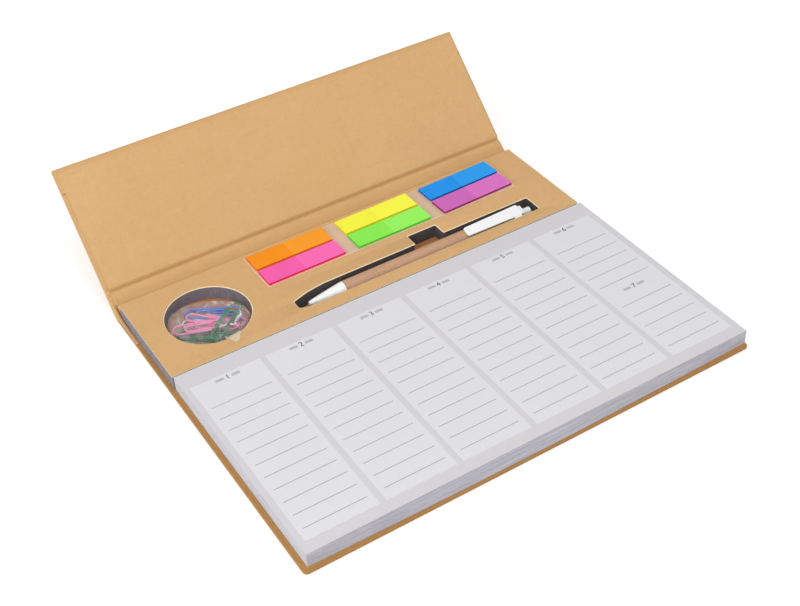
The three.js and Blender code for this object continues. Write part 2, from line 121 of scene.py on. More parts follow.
class Graph:
    """A node tree in the making, with short calls for adding and joining its nodes."""

    def __init__(self, tree: bpy.types.NodeTree) -> None:
        """Start on an empty tree.

        Args:
            tree: The tree of a material, a world or a node group.
        """
        self.tree = tree
        self.tree.nodes.clear()

    def add(self, kind: str, values: dict | None = None, **options: object) -> bpy.types.Node:
        """Add a node.

        Args:
            kind: The node's type name.
            values: Values or sockets for its inputs, by input name or number.
            **options: Settings of the node itself.

        Returns:
            The new node.
        """
        node = self.tree.nodes.new(kind)
        for option, setting in options.items():
            setattr(node, option, setting)
        for key, value in (values or {}).items():
            if isinstance(value, bpy.types.NodeSocket):
                self.tree.links.new(value, node.inputs[key])
            else:
                node.inputs[key].default_value = value
        return node

    def maths(self, operation: str, first: object, second: object) -> bpy.types.NodeSocket:
        """Add a Math node and return its result.

        Args:
            operation: The operation's name.
            first: A number or a socket.
            second: A number or a socket.

        Returns:
            The result's socket.
        """
        return self.add("ShaderNodeMath", {0: first, 1: second}, operation=operation).outputs[0]

    def plus(self, first: object, second: object) -> bpy.types.NodeSocket:
        """Add two numbers or sockets."""
        return self.maths("ADD", first, second)

    def times(self, first: object, second: object) -> bpy.types.NodeSocket:
        """Multiply two numbers or sockets."""
        return self.maths("MULTIPLY", first, second)

    def vector(self, x: object = 0.0, y: object = 0.0, z: object = 0.0) -> bpy.types.NodeSocket:
        """Join three numbers or sockets into a vector."""
        return self.add("ShaderNodeCombineXYZ", {0: x, 1: y, 2: z}).outputs[0]

    def vector_maths(self, operation: str, *terms: object) -> bpy.types.NodeSocket:
        """Add a Vector Math node for an operation and its terms, and return its result."""
        node = self.add("ShaderNodeVectorMath", dict(enumerate(terms)), operation=operation)
        return node.outputs[0]

    def give(self, node: bpy.types.Node, **sources: bpy.types.NodeSocket) -> None:
        """Join each socket to the node's input of the same name."""
        for name, source in sources.items():
            self.tree.links.new(source, node.inputs[name])

    def stretch(self, value: object, low: float, high: float, to_low: float = 0.0,
                to_high: float = 1.0) -> bpy.types.NodeSocket:
        """Map a range of a value to another range, cut off at both ends.

        Args:
            value: The socket to map.
            low: Value that becomes to_low.
            high: Value that becomes to_high.
            to_low: Lowest result.
            to_high: Highest result.

        Returns:
            The result's socket.
        """
        node = self.add("ShaderNodeMapRange", {0: value, 1: low, 2: high, 3: to_low, 4: to_high})
        return node.outputs[0]

    def colour_mix(self, share: object, first: object, second: object) -> bpy.types.NodeSocket:
        """Mix two colours.

        Args:
            share: How much of the second colour shows.
            first: A colour or a socket.
            second: A colour or a socket.

        Returns:
            The mixed colour's socket.
        """
        node = self.add("ShaderNodeMix", {0: share, 6: first, 7: second}, data_type="RGBA")
        return node.outputs[2]

    def place(self, scale: Sequence[float] = (1, 1, 1),
              turn_deg: Sequence[float] = (0, 0, 0)) -> bpy.types.NodeSocket:
        """Return Object coordinates, stretched and turned.

        Args:
            scale: Stretch along each axis.
            turn_deg: Turn about each axis in degrees.

        Returns:
            The coordinates' socket.
        """
        coordinates = self.add("ShaderNodeTexCoord")
        turn = tuple(math.radians(angle) for angle in turn_deg)
        mapping = self.add("ShaderNodeMapping", {"Vector": coordinates.outputs["Object"],
                                                 "Scale": scale, "Rotation": turn})
        return mapping.outputs[0]

    def clouds(self, vector: bpy.types.NodeSocket, scale: object, detail: float = 2.0,
               rough: float = 0.5) -> bpy.types.NodeSocket:
        """Add a noise texture and return its value.

        Args:
            vector: Coordinates to read.
            scale: Blotches per metre, a number or a socket.
            detail: Levels of finer noise.
            rough: Strength of each finer level.

        Returns:
            The noise value's socket.
        """
        node = self.add("ShaderNodeTexNoise", {"Vector": vector, "Scale": scale,
                                               "Detail": detail, "Roughness": rough})
        return node.outputs["Fac"]

    def background_rays(self) -> bpy.types.NodeSocket:
        """Return 1 for the rays that show the background: seen, mirrored or let through."""
        rays = self.add("ShaderNodeLightPath").outputs
        seen = self.maths("MAXIMUM", rays["Is Camera Ray"], rays["Is Glossy Ray"])
        return self.maths("MAXIMUM", seen, rays["Is Transmission Ray"])


class Effect(Enum):
    """Shader effects that several finishes share, by the name of their node group."""

    PAPER = "paper fibres"
    WEAR = "rim wear"
    LEAVES = "leaf edges"
    FOAM = "foam cells"
    CREASES = "film creases"
    GRAIN = "moulded grain"


def effect_shell(effect: Effect, inputs: dict[str, float], outputs: Sequence[str]
                 ) -> tuple[Graph, bpy.types.bpy_prop_collection, bpy.types.Node]:
    """Start a shader group with number inputs and outputs.

    Args:
        effect: The effect that the group makes.
        inputs: Input names with their usual values.
        outputs: Output names.

    Returns:
        The group's graph, the sockets of its inputs and its output node.
    """
    tree = bpy.data.node_groups.new(effect.value, "ShaderNodeTree")
    for name, value in inputs.items():
        socket = tree.interface.new_socket(name, in_out="INPUT", socket_type="NodeSocketFloat")
        socket.default_value = value
    for name in outputs:
        tree.interface.new_socket(name, in_out="OUTPUT", socket_type="NodeSocketFloat")
    graph = Graph(tree)
    return graph, graph.add("NodeGroupInput").outputs, graph.add("NodeGroupOutput")


def build_paper_effect() -> bpy.types.NodeTree:
    """Build the uneven tone, the fibres and the fine relief of uncoated paper."""
    graph, given, out = effect_shell(Effect.PAPER, {"Grain": 900.0, "Cloud": 28.0, "Fibre": 520.0},
                                     ("Tone", "Fibres", "Height"))
    flat = graph.place()
    fine = graph.clouds(flat, given["Grain"], 4.0, 0.65)
    broad = graph.clouds(flat, given["Cloud"], 3.0, 0.5)
    middle = graph.clouds(flat, 210.0, 3.0, 0.55)
    tone = graph.plus(graph.times(fine, 0.5), graph.times(broad, 0.28))
    masks = []
    for scale, turn in (((1.0, 0.11, 0.11), 22.0), ((0.13, 1.0, 1.0), -31.0)):
        streaks = graph.clouds(graph.place(scale, (0, 0, turn)), given["Fibre"], 2.0)
        masks.append(graph.stretch(streaks, 0.64, 0.72))
    fibres = graph.maths("MAXIMUM", masks[0], masks[1])
    graph.give(out, Tone=graph.plus(tone, graph.times(middle, 0.22)), Fibres=fibres,
               Height=graph.plus(fine, graph.times(fibres, 0.35)))
    return graph.tree


def build_wear_effect() -> bpy.types.NodeTree:
    """Build a broken mask along the rims that a mesh marks with its rim attribute."""
    graph, given, out = effect_shell(Effect.WEAR, {"Break Up": 420.0, "Reach": 0.55}, ("Mask",))
    rim = graph.add("ShaderNodeAttribute", attribute_name="rim").outputs["Fac"]
    uneven = graph.clouds(graph.place(), given["Break Up"], 4.0, 0.7)
    pushed = graph.maths("SUBTRACT", graph.plus(rim, uneven), 1.0)
    mask = graph.maths("DIVIDE", pushed, given["Reach"])
    graph.give(out, Mask=graph.add("ShaderNodeClamp", {0: mask}).outputs[0])
    return graph.tree


def build_leaves_effect() -> bpy.types.NodeTree:
    """Build the fine lines that the edges of stacked leaves show."""
    graph, given, out = effect_shell(Effect.LEAVES, {"Lines": 4200.0, "Run": 30.0},
                                     ("Tone", "Height"))
    coordinates = graph.add("ShaderNodeTexCoord").outputs["Object"]
    split = graph.add("ShaderNodeSeparateXYZ", {0: coordinates}).outputs
    across = graph.times(graph.plus(split[0], split[1]), given["Run"])
    joined = graph.vector(x=across, z=graph.times(split[2], given["Lines"]))
    lines = graph.clouds(joined, 1.0, 3.0, 0.7)
    graph.give(out, Tone=graph.stretch(lines, 0.3, 0.7), Height=lines)
    return graph.tree


def build_foam_effect() -> bpy.types.NodeTree:
    """Build the cells of cut foam as tone and relief."""
    graph, given, out = effect_shell(Effect.FOAM, {"Cells": 2300.0, "Patch": 300.0},
                                     ("Tone", "Height"))
    flat = graph.place()
    cells = graph.add("ShaderNodeTexVoronoi", {"Vector": flat, "Scale": given["Cells"]})
    distance = cells.outputs["Distance"]
    patch = graph.clouds(flat, given["Patch"], 4.0, 0.7)
    tone = graph.plus(graph.times(distance, 0.6), graph.times(patch, 0.7))
    graph.give(out, Tone=graph.stretch(tone, 0.3, 0.95), Height=distance)
    return graph.tree


def build_creases_effect() -> bpy.types.NodeTree:
    """Build crumpled clear film's creases, with a mask of painted white glints along them, its hazy
    patches and its soft ripples.
    """
    graph, given, out = effect_shell(Effect.CREASES, {"Folds": 105.0, "Ripples": 380.0},
                                     ("Mask", "Haze", "Height"))
    flat = graph.place((1.0, 0.55, 1.0), (0, 0, 34))
    bend = graph.add("ShaderNodeTexNoise", {"Vector": flat, "Scale": 90.0})
    warped = graph.vector_maths("MULTIPLY_ADD", bend.outputs["Color"], (0.008, 0.008, 0.008), flat)
    folds = graph.add("ShaderNodeTexVoronoi", {"Vector": warped, "Scale": given["Folds"]},
                      feature="DISTANCE_TO_EDGE").outputs["Distance"]
    # ridge, broken up by lit, masks where white glints are painted along the creases.
    ridge = graph.stretch(folds, 0.0, 0.07, 1.0, 0.0)
    ripples = graph.clouds(flat, given["Ripples"], 3.0, 0.6)
    lit = graph.stretch(graph.clouds(flat, 75.0, 1.0), 0.5, 0.6)
    broken = graph.times(lit, graph.stretch(ripples, 0.4, 0.55))
    graph.give(out, Mask=graph.times(ridge, broken),
               Haze=graph.stretch(graph.clouds(warped, 120.0, 2.0), 0.45, 0.62),
               Height=graph.plus(graph.times(folds, 1.6), graph.times(ripples, 0.5)))
    return graph.tree


def build_grain_effect() -> bpy.types.NodeTree:
    """Build the faint unevenness of moulded or drawn plastic."""
    graph, given, out = effect_shell(Effect.GRAIN, {"Fine": 1500.0, "Flow": 60.0},
                                     ("Tone", "Height"))
    flat = graph.place()
    fine = graph.clouds(flat, given["Fine"], 3.0, 0.6)
    flow = graph.clouds(flat, given["Flow"], 2.0)
    graph.give(out, Tone=graph.plus(graph.times(fine, 0.4), graph.times(flow, 0.6)), Height=fine)
    return graph.tree


EFFECT_BUILDERS: dict[Effect, Callable[[], bpy.types.NodeTree]] = {
    Effect.PAPER: build_paper_effect,
    Effect.WEAR: build_wear_effect,
    Effect.LEAVES: build_leaves_effect,
    Effect.FOAM: build_foam_effect,
    Effect.CREASES: build_creases_effect,
    Effect.GRAIN: build_grain_effect,
}


class Surface:
    """A material in the making: a Principled shader fed by shared effects."""

    def __init__(self, name: str) -> None:
        """Start a material with a Principled shader.

        Args:
            name: The material's name.
        """
        self.material = bpy.data.materials.new(name)
        self.material.use_nodes = True
        self.graph = Graph(self.material.node_tree)
        self.shader = self.graph.add("ShaderNodeBsdfPrincipled")
        output = self.graph.add("ShaderNodeOutputMaterial")
        self.graph.tree.links.new(self.shader.outputs[0], output.inputs[0])

    def effect(self, effect: Effect, **values: float) -> bpy.types.Node:
        """Place a shared effect in this material.

        Args:
            effect: Which effect.
            **values: Input values, with underscores for spaces.

        Returns:
            The group's node.
        """
        tree = bpy.data.node_groups.get(effect.value) or EFFECT_BUILDERS[effect]()
        node = self.graph.add("ShaderNodeGroup", node_tree=tree)
        for key, value in values.items():
            node.inputs[key.replace("_", " ").title()].default_value = value
        return node

    def feed(self, name: str, source: object) -> None:
        """Give the shader's input a socket or a constant value."""
        if isinstance(source, bpy.types.NodeSocket):
            self.graph.tree.links.new(source, self.shader.inputs[name])
        else:
            self.shader.inputs[name].default_value = source

    def paint(self, mask: bpy.types.NodeSocket, first: Colour, second: Colour) -> None:
        """Colour the surface from first to second as the mask rises."""
        self.feed("Base Color", self.graph.colour_mix(mask, linear(first), linear(second)))

    def relief(self, height: bpy.types.NodeSocket, depth_mm: float) -> None:
        """Raise the surface by a height from 0 to 1 times the depth, as a bump."""
        bump = self.graph.add("ShaderNodeBump", {"Height": height, "Strength": 1.0,
                                                 "Distance": depth_mm * MM})
        self.feed("Normal", bump.outputs[0])


# Finishes.


@dataclass(frozen=True)
class PaperFinish:
    """Uncoated paper: uneven tone, fibres, fine relief, wear along its rims and painted shade in
    its creases.
    """

    name: str
    colour: Colour
    darker: Colour
    fibre: Colour
    worn: Colour = (168, 122, 62)
    wear: float = 0.0
    crease: float = 0.0
    fibre_share: float = 0.3
    grain_mm: float = 0.05
    roughness: float = 0.82

    def make(self) -> bpy.types.Material:
        """Build the paper's material."""
        surface = Surface(self.name)
        graph = surface.graph
        paper = surface.effect(Effect.PAPER)
        tone = graph.stretch(paper.outputs["Tone"], 0.36, 0.64)
        colour = graph.colour_mix(tone, linear(self.darker), linear(self.colour))
        share = graph.times(paper.outputs["Fibres"], self.fibre_share)
        colour = graph.colour_mix(share, colour, linear(self.fibre))
        if self.wear > 0:
            mask = surface.effect(Effect.WEAR).outputs["Mask"]
            share = graph.times(mask, self.wear)
            colour = graph.colour_mix(share, colour, linear(self.worn))
        # Painted shade: the paper darkens where the rim attribute marks a crease.
        if self.crease > 0:
            rim = graph.add("ShaderNodeAttribute", attribute_name="rim").outputs["Fac"]
            share = graph.times(rim, self.crease)
            colour = graph.colour_mix(share, colour, linear(self.worn))
        surface.feed("Base Color", colour)
        surface.feed("Roughness", graph.stretch(paper.outputs["Tone"], 0.3, 0.7,
                                                self.roughness - 0.06, self.roughness + 0.06))
        surface.feed("Specular IOR Level", 0.3)
        surface.relief(paper.outputs["Height"], self.grain_mm)
        return surface.material


@dataclass(frozen=True)
class LeafEdgeFinish:
    """The sides of a stack of leaves, with a line for each few leaves."""

    name: str
    colour: Colour
    line: Colour
    roughness: float = 0.7
    lines: float = 4200.0
    grain_mm: float = 0.06

    def make(self) -> bpy.types.Material:
        """Build the stack's material."""
        surface = Surface(self.name)
        leaves = surface.effect(Effect.LEAVES, lines=self.lines)
        surface.paint(leaves.outputs["Tone"], self.line, self.colour)
        surface.feed("Roughness", surface.graph.stretch(
            leaves.outputs["Tone"], 0.0, 1.0, self.roughness + 0.08, self.roughness - 0.05))
        surface.feed("Specular IOR Level", 0.3)
        surface.relief(leaves.outputs["Height"], self.grain_mm)
        return surface.material


@dataclass(frozen=True)
class FoamFinish:
    """Fine closed-cell foam, cut with a blade."""

    name: str
    colour: Colour
    darker: Colour
    sheen: float = 0.12
    grain_mm: float = 0.12

    def make(self) -> bpy.types.Material:
        """Build the foam's material."""
        surface = Surface(self.name)
        foam = surface.effect(Effect.FOAM)
        surface.paint(foam.outputs["Tone"], self.darker, self.colour)
        surface.feed("Roughness", surface.graph.stretch(foam.outputs["Tone"], 0.0, 1.0, 0.95, 0.82))
        surface.feed("Sheen Weight", self.sheen)
        surface.relief(foam.outputs["Height"], self.grain_mm)
        return surface.material


@dataclass(frozen=True)
class PlasticFinish:
    """Coloured or white plastic with a faint uneven gloss."""

    name: str
    colour: Colour
    darker: Colour
    roughness: float = 0.32
    grain_mm: float = 0.012
    specular: float = 0.5

    def make(self) -> bpy.types.Material:
        """Build the plastic's material."""
        surface = Surface(self.name)
        graph = surface.graph
        grain = surface.effect(Effect.GRAIN)
        tone = graph.stretch(grain.outputs["Tone"], 0.35, 0.65)
        surface.paint(tone, self.darker, self.colour)
        surface.feed("Roughness", graph.stretch(grain.outputs["Tone"], 0.3, 0.7,
                                                self.roughness - 0.05, self.roughness + 0.07))
        surface.feed("Specular IOR Level", self.specular)
        surface.relief(grain.outputs["Height"], self.grain_mm)
        return surface.material


@dataclass(frozen=True)
class FilmFinish:
    """Clear film that shows by its haze, its gloss and painted white glints along its creases."""

    name: str
    colour: Colour
    veil: float = 0.06
    haze: float = 0.12
    crease: float = 1.0
    rim_gloss: float = 0.22
    ripple_mm: float = 0.5

    def make(self) -> bpy.types.Material:
        """Build the film's material."""
        surface = Surface(self.name)
        graph = surface.graph
        film = surface.effect(Effect.CREASES)
        facing = graph.add("ShaderNodeLayerWeight", {"Blend": 0.25}).outputs["Facing"]
        alpha = graph.plus(graph.times(film.outputs["Mask"], self.crease),
                           graph.times(facing, self.rim_gloss))
        haze = graph.times(film.outputs["Haze"], self.haze)
        surface.feed("Alpha", graph.plus(graph.plus(alpha, haze), self.veil))
        # Painted highlight: the film turns white where the glint mask rises.
        surface.paint(film.outputs["Mask"], self.colour, PURE_WHITE)
        surface.feed("Roughness", graph.stretch(film.outputs["Mask"], 0.0, 1.0, 0.08, 0.3))
        surface.feed("Specular IOR Level", 0.8)
        surface.relief(film.outputs["Height"], self.ripple_mm)
        return surface.material


@dataclass(frozen=True)
class WireFinish:
    """Bare bright wire."""

    name: str
    colour: Colour
    brighter: Colour

    def make(self) -> bpy.types.Material:
        """Build the wire's material."""
        surface = Surface(self.name)
        grain = surface.effect(Effect.GRAIN, fine=3000.0)
        surface.paint(grain.outputs["Tone"], self.colour, self.brighter)
        surface.feed("Metallic", 1.0)
        surface.feed("Roughness", surface.graph.stretch(
            grain.outputs["Tone"], 0.2, 0.8, 0.18, 0.34))
        return surface.material


class Kraft(Enum):
    """The papers of the case."""

    # This darker copy of the cover paper paints the shade on the base's sides and on its margins
    # beside the pad.
    COVER = PaperFinish("kraft cover with painted shade", (189, 144, 89), (177, 131, 77), (158, 114, 62),
                        (154, 108, 52), wear=0.5, fibre_share=0.12)
    MARGIN = PaperFinish("kraft cover margin", (217, 174, 120), (209, 166, 112), (195, 151, 97),
                         (184, 138, 84), wear=0.3, fibre_share=0.12)
    # The lining's crease setting paints shade in the fold behind the tray and along the groove.
    LINING = PaperFinish("kraft lining", (220, 178, 125), (211, 168, 114), (198, 154, 100),
                         crease=0.7, fibre_share=0.14)
    # This darker kraft paints the thin shade along the lining's side edges and at the ends of the
    # turn-ins.
    LINING_EDGE = PaperFinish("kraft lining edge", (170, 126, 74), (156, 112, 62), (140, 98, 50))
    CUT_EDGE = PaperFinish("cut card edge", (252, 236, 202), (244, 226, 190), (226, 200, 156))
    FLOOR = PaperFinish("kraft floor", (192, 132, 84), (176, 118, 70), (156, 100, 58),
                        fibre_share=0.2)
    TUBE = PaperFinish("wound kraft tube", (206, 164, 133), (190, 148, 117), (164, 122, 92),
                       fibre_share=0.4)


class Sheet(Enum):
    """The papers and inks of the weekly sheets."""

    GROUND = PaperFinish("printed grey", (215, 213, 217), (212, 210, 214), (206, 204, 209),
                         fibre_share=0.1, grain_mm=0.012, roughness=0.72)
    PANEL = PaperFinish("bare white sheet", (227, 227, 230), (224, 224, 227), (217, 217, 221),
                        fibre_share=0.1, grain_mm=0.012, roughness=0.72)
    RULE = PaperFinish("rule ink", (158, 158, 162), (150, 150, 154), (140, 140, 145),
                       grain_mm=0.01)
    HEADING = PaperFinish("heading ink", (72, 72, 78), (64, 64, 70), (56, 56, 62), grain_mm=0.01)
    FIELD = PaperFinish("heading field", (190, 190, 195), (184, 184, 189), (176, 176, 182),
                        grain_mm=0.01)


# The first leaf-edge finish is darkened to paint the shade on the pad's front; the second is
# lightened to paint the light on its sides.
SHADED_SHEET_EDGES = LeafEdgeFinish("paper edges with painted shade", (212, 210, 217), (142, 139, 149), lines=3500.0)
LIT_SHEET_EDGES = LeafEdgeFinish("paper sides with painted light", (231, 230, 235), (190, 188, 196),
                               lines=2700.0)
FOAM = FoamFinish("cut grey foam", (146, 140, 149), (98, 92, 100))
# A darker copy of the foam paints the shade inside the narrow pen slot.
SHADED_SLOT_FOAM = FoamFinish("slot foam with painted shade", (88, 80, 84), (52, 46, 49))
WHITE = PlasticFinish("white plastic", (250, 250, 250), (243, 243, 244), roughness=0.3)
REFILL = PlasticFinish("refill tube", (150, 152, 160), (120, 122, 130))
STEEL = WireFinish("spring wire", (200, 200, 205), (235, 235, 238))
FILM = FilmFinish("clear pouch film", (226, 228, 234))
FOLDED_FILM = FilmFinish("doubled pouch film", (242, 224, 194), veil=0.5, crease=0.2)
STRIP = PlasticFinish("backing film", (222, 190, 160), (215, 182, 152), roughness=0.3)
STRIP_EDGE = PlasticFinish("backing film edge", (240, 218, 196), (234, 210, 188), roughness=0.3)


# Meshes drafted in plan millimetres.


class Draft:
    """A mesh in the making: points in plan millimetres and faces with a finish number."""

    def __init__(self, frame: Matrix | None = None) -> None:
        """Start an empty mesh.

        Args:
            frame: Where the draft's own coordinates lie in the plan.
        """
        self.frame = frame or Matrix.Identity(4)
        self.warp: Callable[[Vector], Vector] | None = None
        self.points: list[Vector] = []
        self.rims: list[float] = []
        self.faces: list[tuple[int, ...]] = []
        self.finishes: list[int] = []

    def point(self, x: float, y: float, z: float, rim: float = 0.0) -> int:
        """Add a point and return its number; rim weights the rim wear and the painted crease shade
        at it.
        """
        place = Vector((x, y, z))
        self.points.append(self.frame @ (self.warp(place) if self.warp else place))
        self.rims.append(rim)
        return len(self.points) - 1

    def ring(self, outline: Outline, z: float, rim: float = 0.0) -> list[int]:
        """Add an outline's points at one height and return their numbers."""
        return [self.point(x, y, z, rim) for x, y in outline]

    def face(self, corners: Sequence[int], finish: int = 0) -> None:
        """Add a face with the given corners."""
        self.faces.append(tuple(corners))
        self.finishes.append(finish)

    def bridge(self, first: Sequence[int], second: Sequence[int], finish: int = 0,
               closed: bool = True) -> None:
        """Join two rows of as many points with a band of faces.

        Args:
            first: The lower row, running anticlockwise seen from above.
            second: The upper row.
            finish: Number of the faces' finish.
            closed: Whether the rows are rings.
        """
        count = len(first)
        for index in range(count if closed else count - 1):
            after = (index + 1) % count
            self.face((first[index], first[after], second[after], second[index]), finish)

    def slab(self, low: Sequence[float], size: Sequence[float], corner: float, edge: float,
             finishes: tuple[int, int, int] = (0, 0, 0), margin: float = 2.5) -> None:
        """Add a flat slab with rounded corners and rounded edges.

        Args:
            low: Lowest corner.
            size: Width, depth and height.
            corner: Radius of the corners in plan.
            edge: Radius of the edges.
            finishes: Numbers of the finishes of sides, top and underside.
            margin: Width of the band inside the edge that the wear fades over.
        """
        height = size[2]
        angles = [math.pi / 2 * step / EDGE_STEPS for step in range(EDGE_STEPS + 1)]
        levels = [(edge + margin, 0.0, 0.0)]
        levels.extend((edge * (1 - math.sin(angle)), edge * (1 - math.cos(angle)), 1.0)
                      for angle in angles)
        levels.extend((edge * (1 - math.cos(angle)), height - edge * (1 - math.sin(angle)), 1.0)
                      for angle in angles)
        levels.append((edge + margin, height, 0.0))
        rings = [self.ring(rounded_outline(*low[:2], *size[:2], corner, inset), low[2] + level, rim)
                 for inset, level, rim in levels]
        bands = [finishes[2], *[finishes[0]] * (len(rings) - 3), finishes[1]]
        for lower, upper, finish in zip(rings, rings[1:], bands):
            self.bridge(lower, upper, finish)
        self.face(rings[0][::-1], finishes[2])
        self.face(rings[-1], finishes[1])

    def cap(self, loops: Sequence[Outline], height: float, upwards: bool,
            finish: int) -> list[int]:
        """Fill an outline with holes at one height and return its points' numbers.

        Args:
            loops: The outline and its holes.
            height: Height of the face.
            upwards: Whether it faces up.
            finish: Number of its finish.

        Returns:
            The numbers of all points, loop after loop.
        """
        numbers = [self.point(x, y, height) for loop in loops for x, y in loop]
        for triangle in tessellate_polygon([[Vector((x, y, 0)) for x, y in loop]
                                            for loop in loops]):
            corners = [numbers[corner] for corner in triangle]
            first, second, third = (self.points[corner] for corner in corners)
            faces_up = (second - first).cross(third - first).dot(self.frame.col[2].xyz) > 0
            self.face(corners if faces_up == upwards else corners[::-1], finish)
        return numbers

    def plate(self, outer: Outline, holes: Sequence[Outline], low: float, high: float,
              finishes: tuple[int, int, int, int] = (0, 0, 0, 0),
              mouths: Sequence[Outline] | None = None, lip: float = 0.0) -> None:
        """Add a flat plate with cut-outs.

        Args:
            outer: The outline, anticlockwise.
            holes: The cut-outs' outlines.
            low: Height of the underside.
            high: Height of the top.
            finishes: Numbers of the finishes of outer sides, top, underside and cut sides.
            mouths: The cut-outs' wider outlines at the top, where their edges are crushed.
            lip: Height of the crushed edge.
        """
        below = self.cap([outer, *holes], low, False, finishes[2])
        above = self.cap([outer, *(mouths or holes)], high, True, finishes[1])
        start = 0
        for order, loop in enumerate((outer, *holes)):
            lower = below[start:start + len(loop)]
            upper = above[start:start + len(loop)]
            if order == 0:
                self.bridge(lower, upper, finishes[0])
            else:
                middle = self.ring(loop, high - lip) if lip else lower
                if lip:
                    self.bridge(lower, middle, finishes[3])
                self.bridge(middle, upper, finishes[3])
            start += len(loop)

    def turned(self, profile: Sequence[tuple[float, float]], closed: bool = False) -> None:
        """Add a body turned about the draft's X axis.

        Args:
            profile: Pairs of distance along the axis and radius, front end first.
            closed: Whether the profile runs back along a bore to its start.
        """
        sides = TURNED_SIDES
        angles = [2 * math.pi * side / sides for side in range(sides)]
        rings = []
        for along, radius in profile:
            if radius == 0:
                rings.append([self.point(along, 0, 0)] * sides)
                continue
            rings.append([self.point(along, radius * math.cos(angle), radius * math.sin(angle))
                          for angle in angles])
        pairs = list(zip(rings, rings[1:]))
        if closed:
            pairs.append((rings[-1], rings[0]))
        for first, second in pairs:
            for side in range(sides):
                after = (side + 1) % sides
                corners = dict.fromkeys((first[side], first[after], second[after], second[side]))
                if len(corners) > 2:
                    self.face(tuple(corners))

    def absorb(self, mesh: bpy.types.Mesh, finish: int = 0) -> None:
        """Take in a mesh whose points are plan millimetres in the draft's own coordinates."""
        start = len(self.points)
        for vertex in mesh.vertices:
            self.point(*vertex.co)
        for polygon in mesh.polygons:
            self.face([start + corner for corner in polygon.vertices], finish)

    def finished(self, name: str, finishes: Sequence[bpy.types.Material],
                 smooth_deg: float = 40.0) -> bpy.types.Object:
        """Turn the draft into an object in metres at the origin, with its faces outwards.

        Args:
            name: The object's name.
            finishes: Materials, in the order of the finish numbers.
            smooth_deg: Edges that bend more than this stay sharp.

        Returns:
            The new object.
        """
        mesh = bpy.data.meshes.new(name)
        places = [(point - PLAN_ORIGIN) * MM for point in self.points]
        mesh.from_pydata(places, [], self.faces)
        rim = mesh.attributes.new("rim", "FLOAT", "POINT")
        rim.data.foreach_set("value", self.rims)
        for finish in finishes:
            mesh.materials.append(finish)
        mesh.polygons.foreach_set("material_index", self.finishes)
        shell = bmesh.new()
        shell.from_mesh(mesh)
        bmesh.ops.recalc_face_normals(shell, faces=shell.faces)
        shell.to_mesh(mesh)
        shell.free()
        mesh.shade_smooth()
        mesh.set_sharp_from_angle(angle=math.radians(smooth_deg))
        mesh.update()
        piece = bpy.data.objects.new(name, mesh)
        bpy.context.scene.collection.objects.link(piece)
        return piece


def rounded_outline(x: float, y: float, width: float, depth: float, corner: float,
                    inset: float = 0.0) -> Outline:
    """Return a rectangle with round corners, anticlockwise.

    Args:
        x: Left side.
        y: Front side.
        width: Size along X.
        depth: Size along Y.
        corner: Radius of the corners.
        inset: How far the outline is drawn in on every side.

    Returns:
        The outline's points.
    """
    radius = max(corner - inset, 0.02)
    left, right = x + inset + radius, x + width - inset - radius
    front, back = y + inset + radius, y + depth - inset - radius
    points = []
    for centre_x, centre_y, start in ((right, front, -90), (right, back, 0),
                                      (left, back, 90), (left, front, 180)):
        for step in range(CORNER_STEPS + 1):
            angle = math.radians(start + 90 * step / CORNER_STEPS)
            points.append((centre_x + radius * math.cos(angle),
                           centre_y + radius * math.sin(angle)))
    return points


def filleted(corners: Sequence[tuple[float, float, float]]) -> Outline:
    """Return an outline whose corners are rounded.

    Args:
        corners: X, Y and the rounding radius of each corner.

    Returns:
        The outline's points in the same order.
    """
    outline = []
    count = len(corners)
    for index, (x, y, radius) in enumerate(corners):
        here = Vector((x, y))
        before = Vector(corners[index - 1][:2]) - here
        after = Vector(corners[(index + 1) % count][:2]) - here
        half = before.angle(after) / 2
        reach = min(radius / math.tan(half), before.length * 0.49, after.length * 0.49)
        start = here + before.normalized() * reach
        end = here + after.normalized() * reach
        for step in range(FILLET_STEPS + 1):
            share = step / FILLET_STEPS
            place = start.lerp(here, share).lerp(here.lerp(end, share), share)
            outline.append((place.x, place.y))
    return outline


def circle(x: float, y: float, radius: float) -> Outline:
    """Return a circle's outline, clockwise."""
    angles = [-2 * math.pi * side / CIRCLE_SIDES for side in range(CIRCLE_SIDES)]
    return [(x + radius * math.cos(angle), y + radius * math.sin(angle)) for angle in angles]


def curve_points(controls: Sequence[tuple[float, float]], steps: int) -> Outline:
    """Return points along a cubic curve given by its four controls."""
    points = []
    for step in range(steps + 1):
        share = step / steps
        rest = 1 - share
        weights = (rest ** 3, 3 * rest ** 2 * share, 3 * rest * share ** 2, share ** 3)
        points.append((sum(w * c[0] for w, c in zip(weights, controls)),
                       sum(w * c[1] for w, c in zip(weights, controls))))
    return points


def arc(x: float, y: float, radius: float, start_deg: float, end_deg: float) -> Outline:
    """Return points along an arc.

    Args:
        x: Centre on X.
        y: Centre on Y.
        radius: The arc's radius.
        start_deg: Angle of its first point.
        end_deg: Angle of its last point.

    Returns:
        The points.
    """
    points = []
    for step in range(ARC_STEPS + 1):
        angle = math.radians(blend_value(start_deg, end_deg, step / ARC_STEPS))
        points.append((x + radius * math.cos(angle), y + radius * math.sin(angle)))
    return points


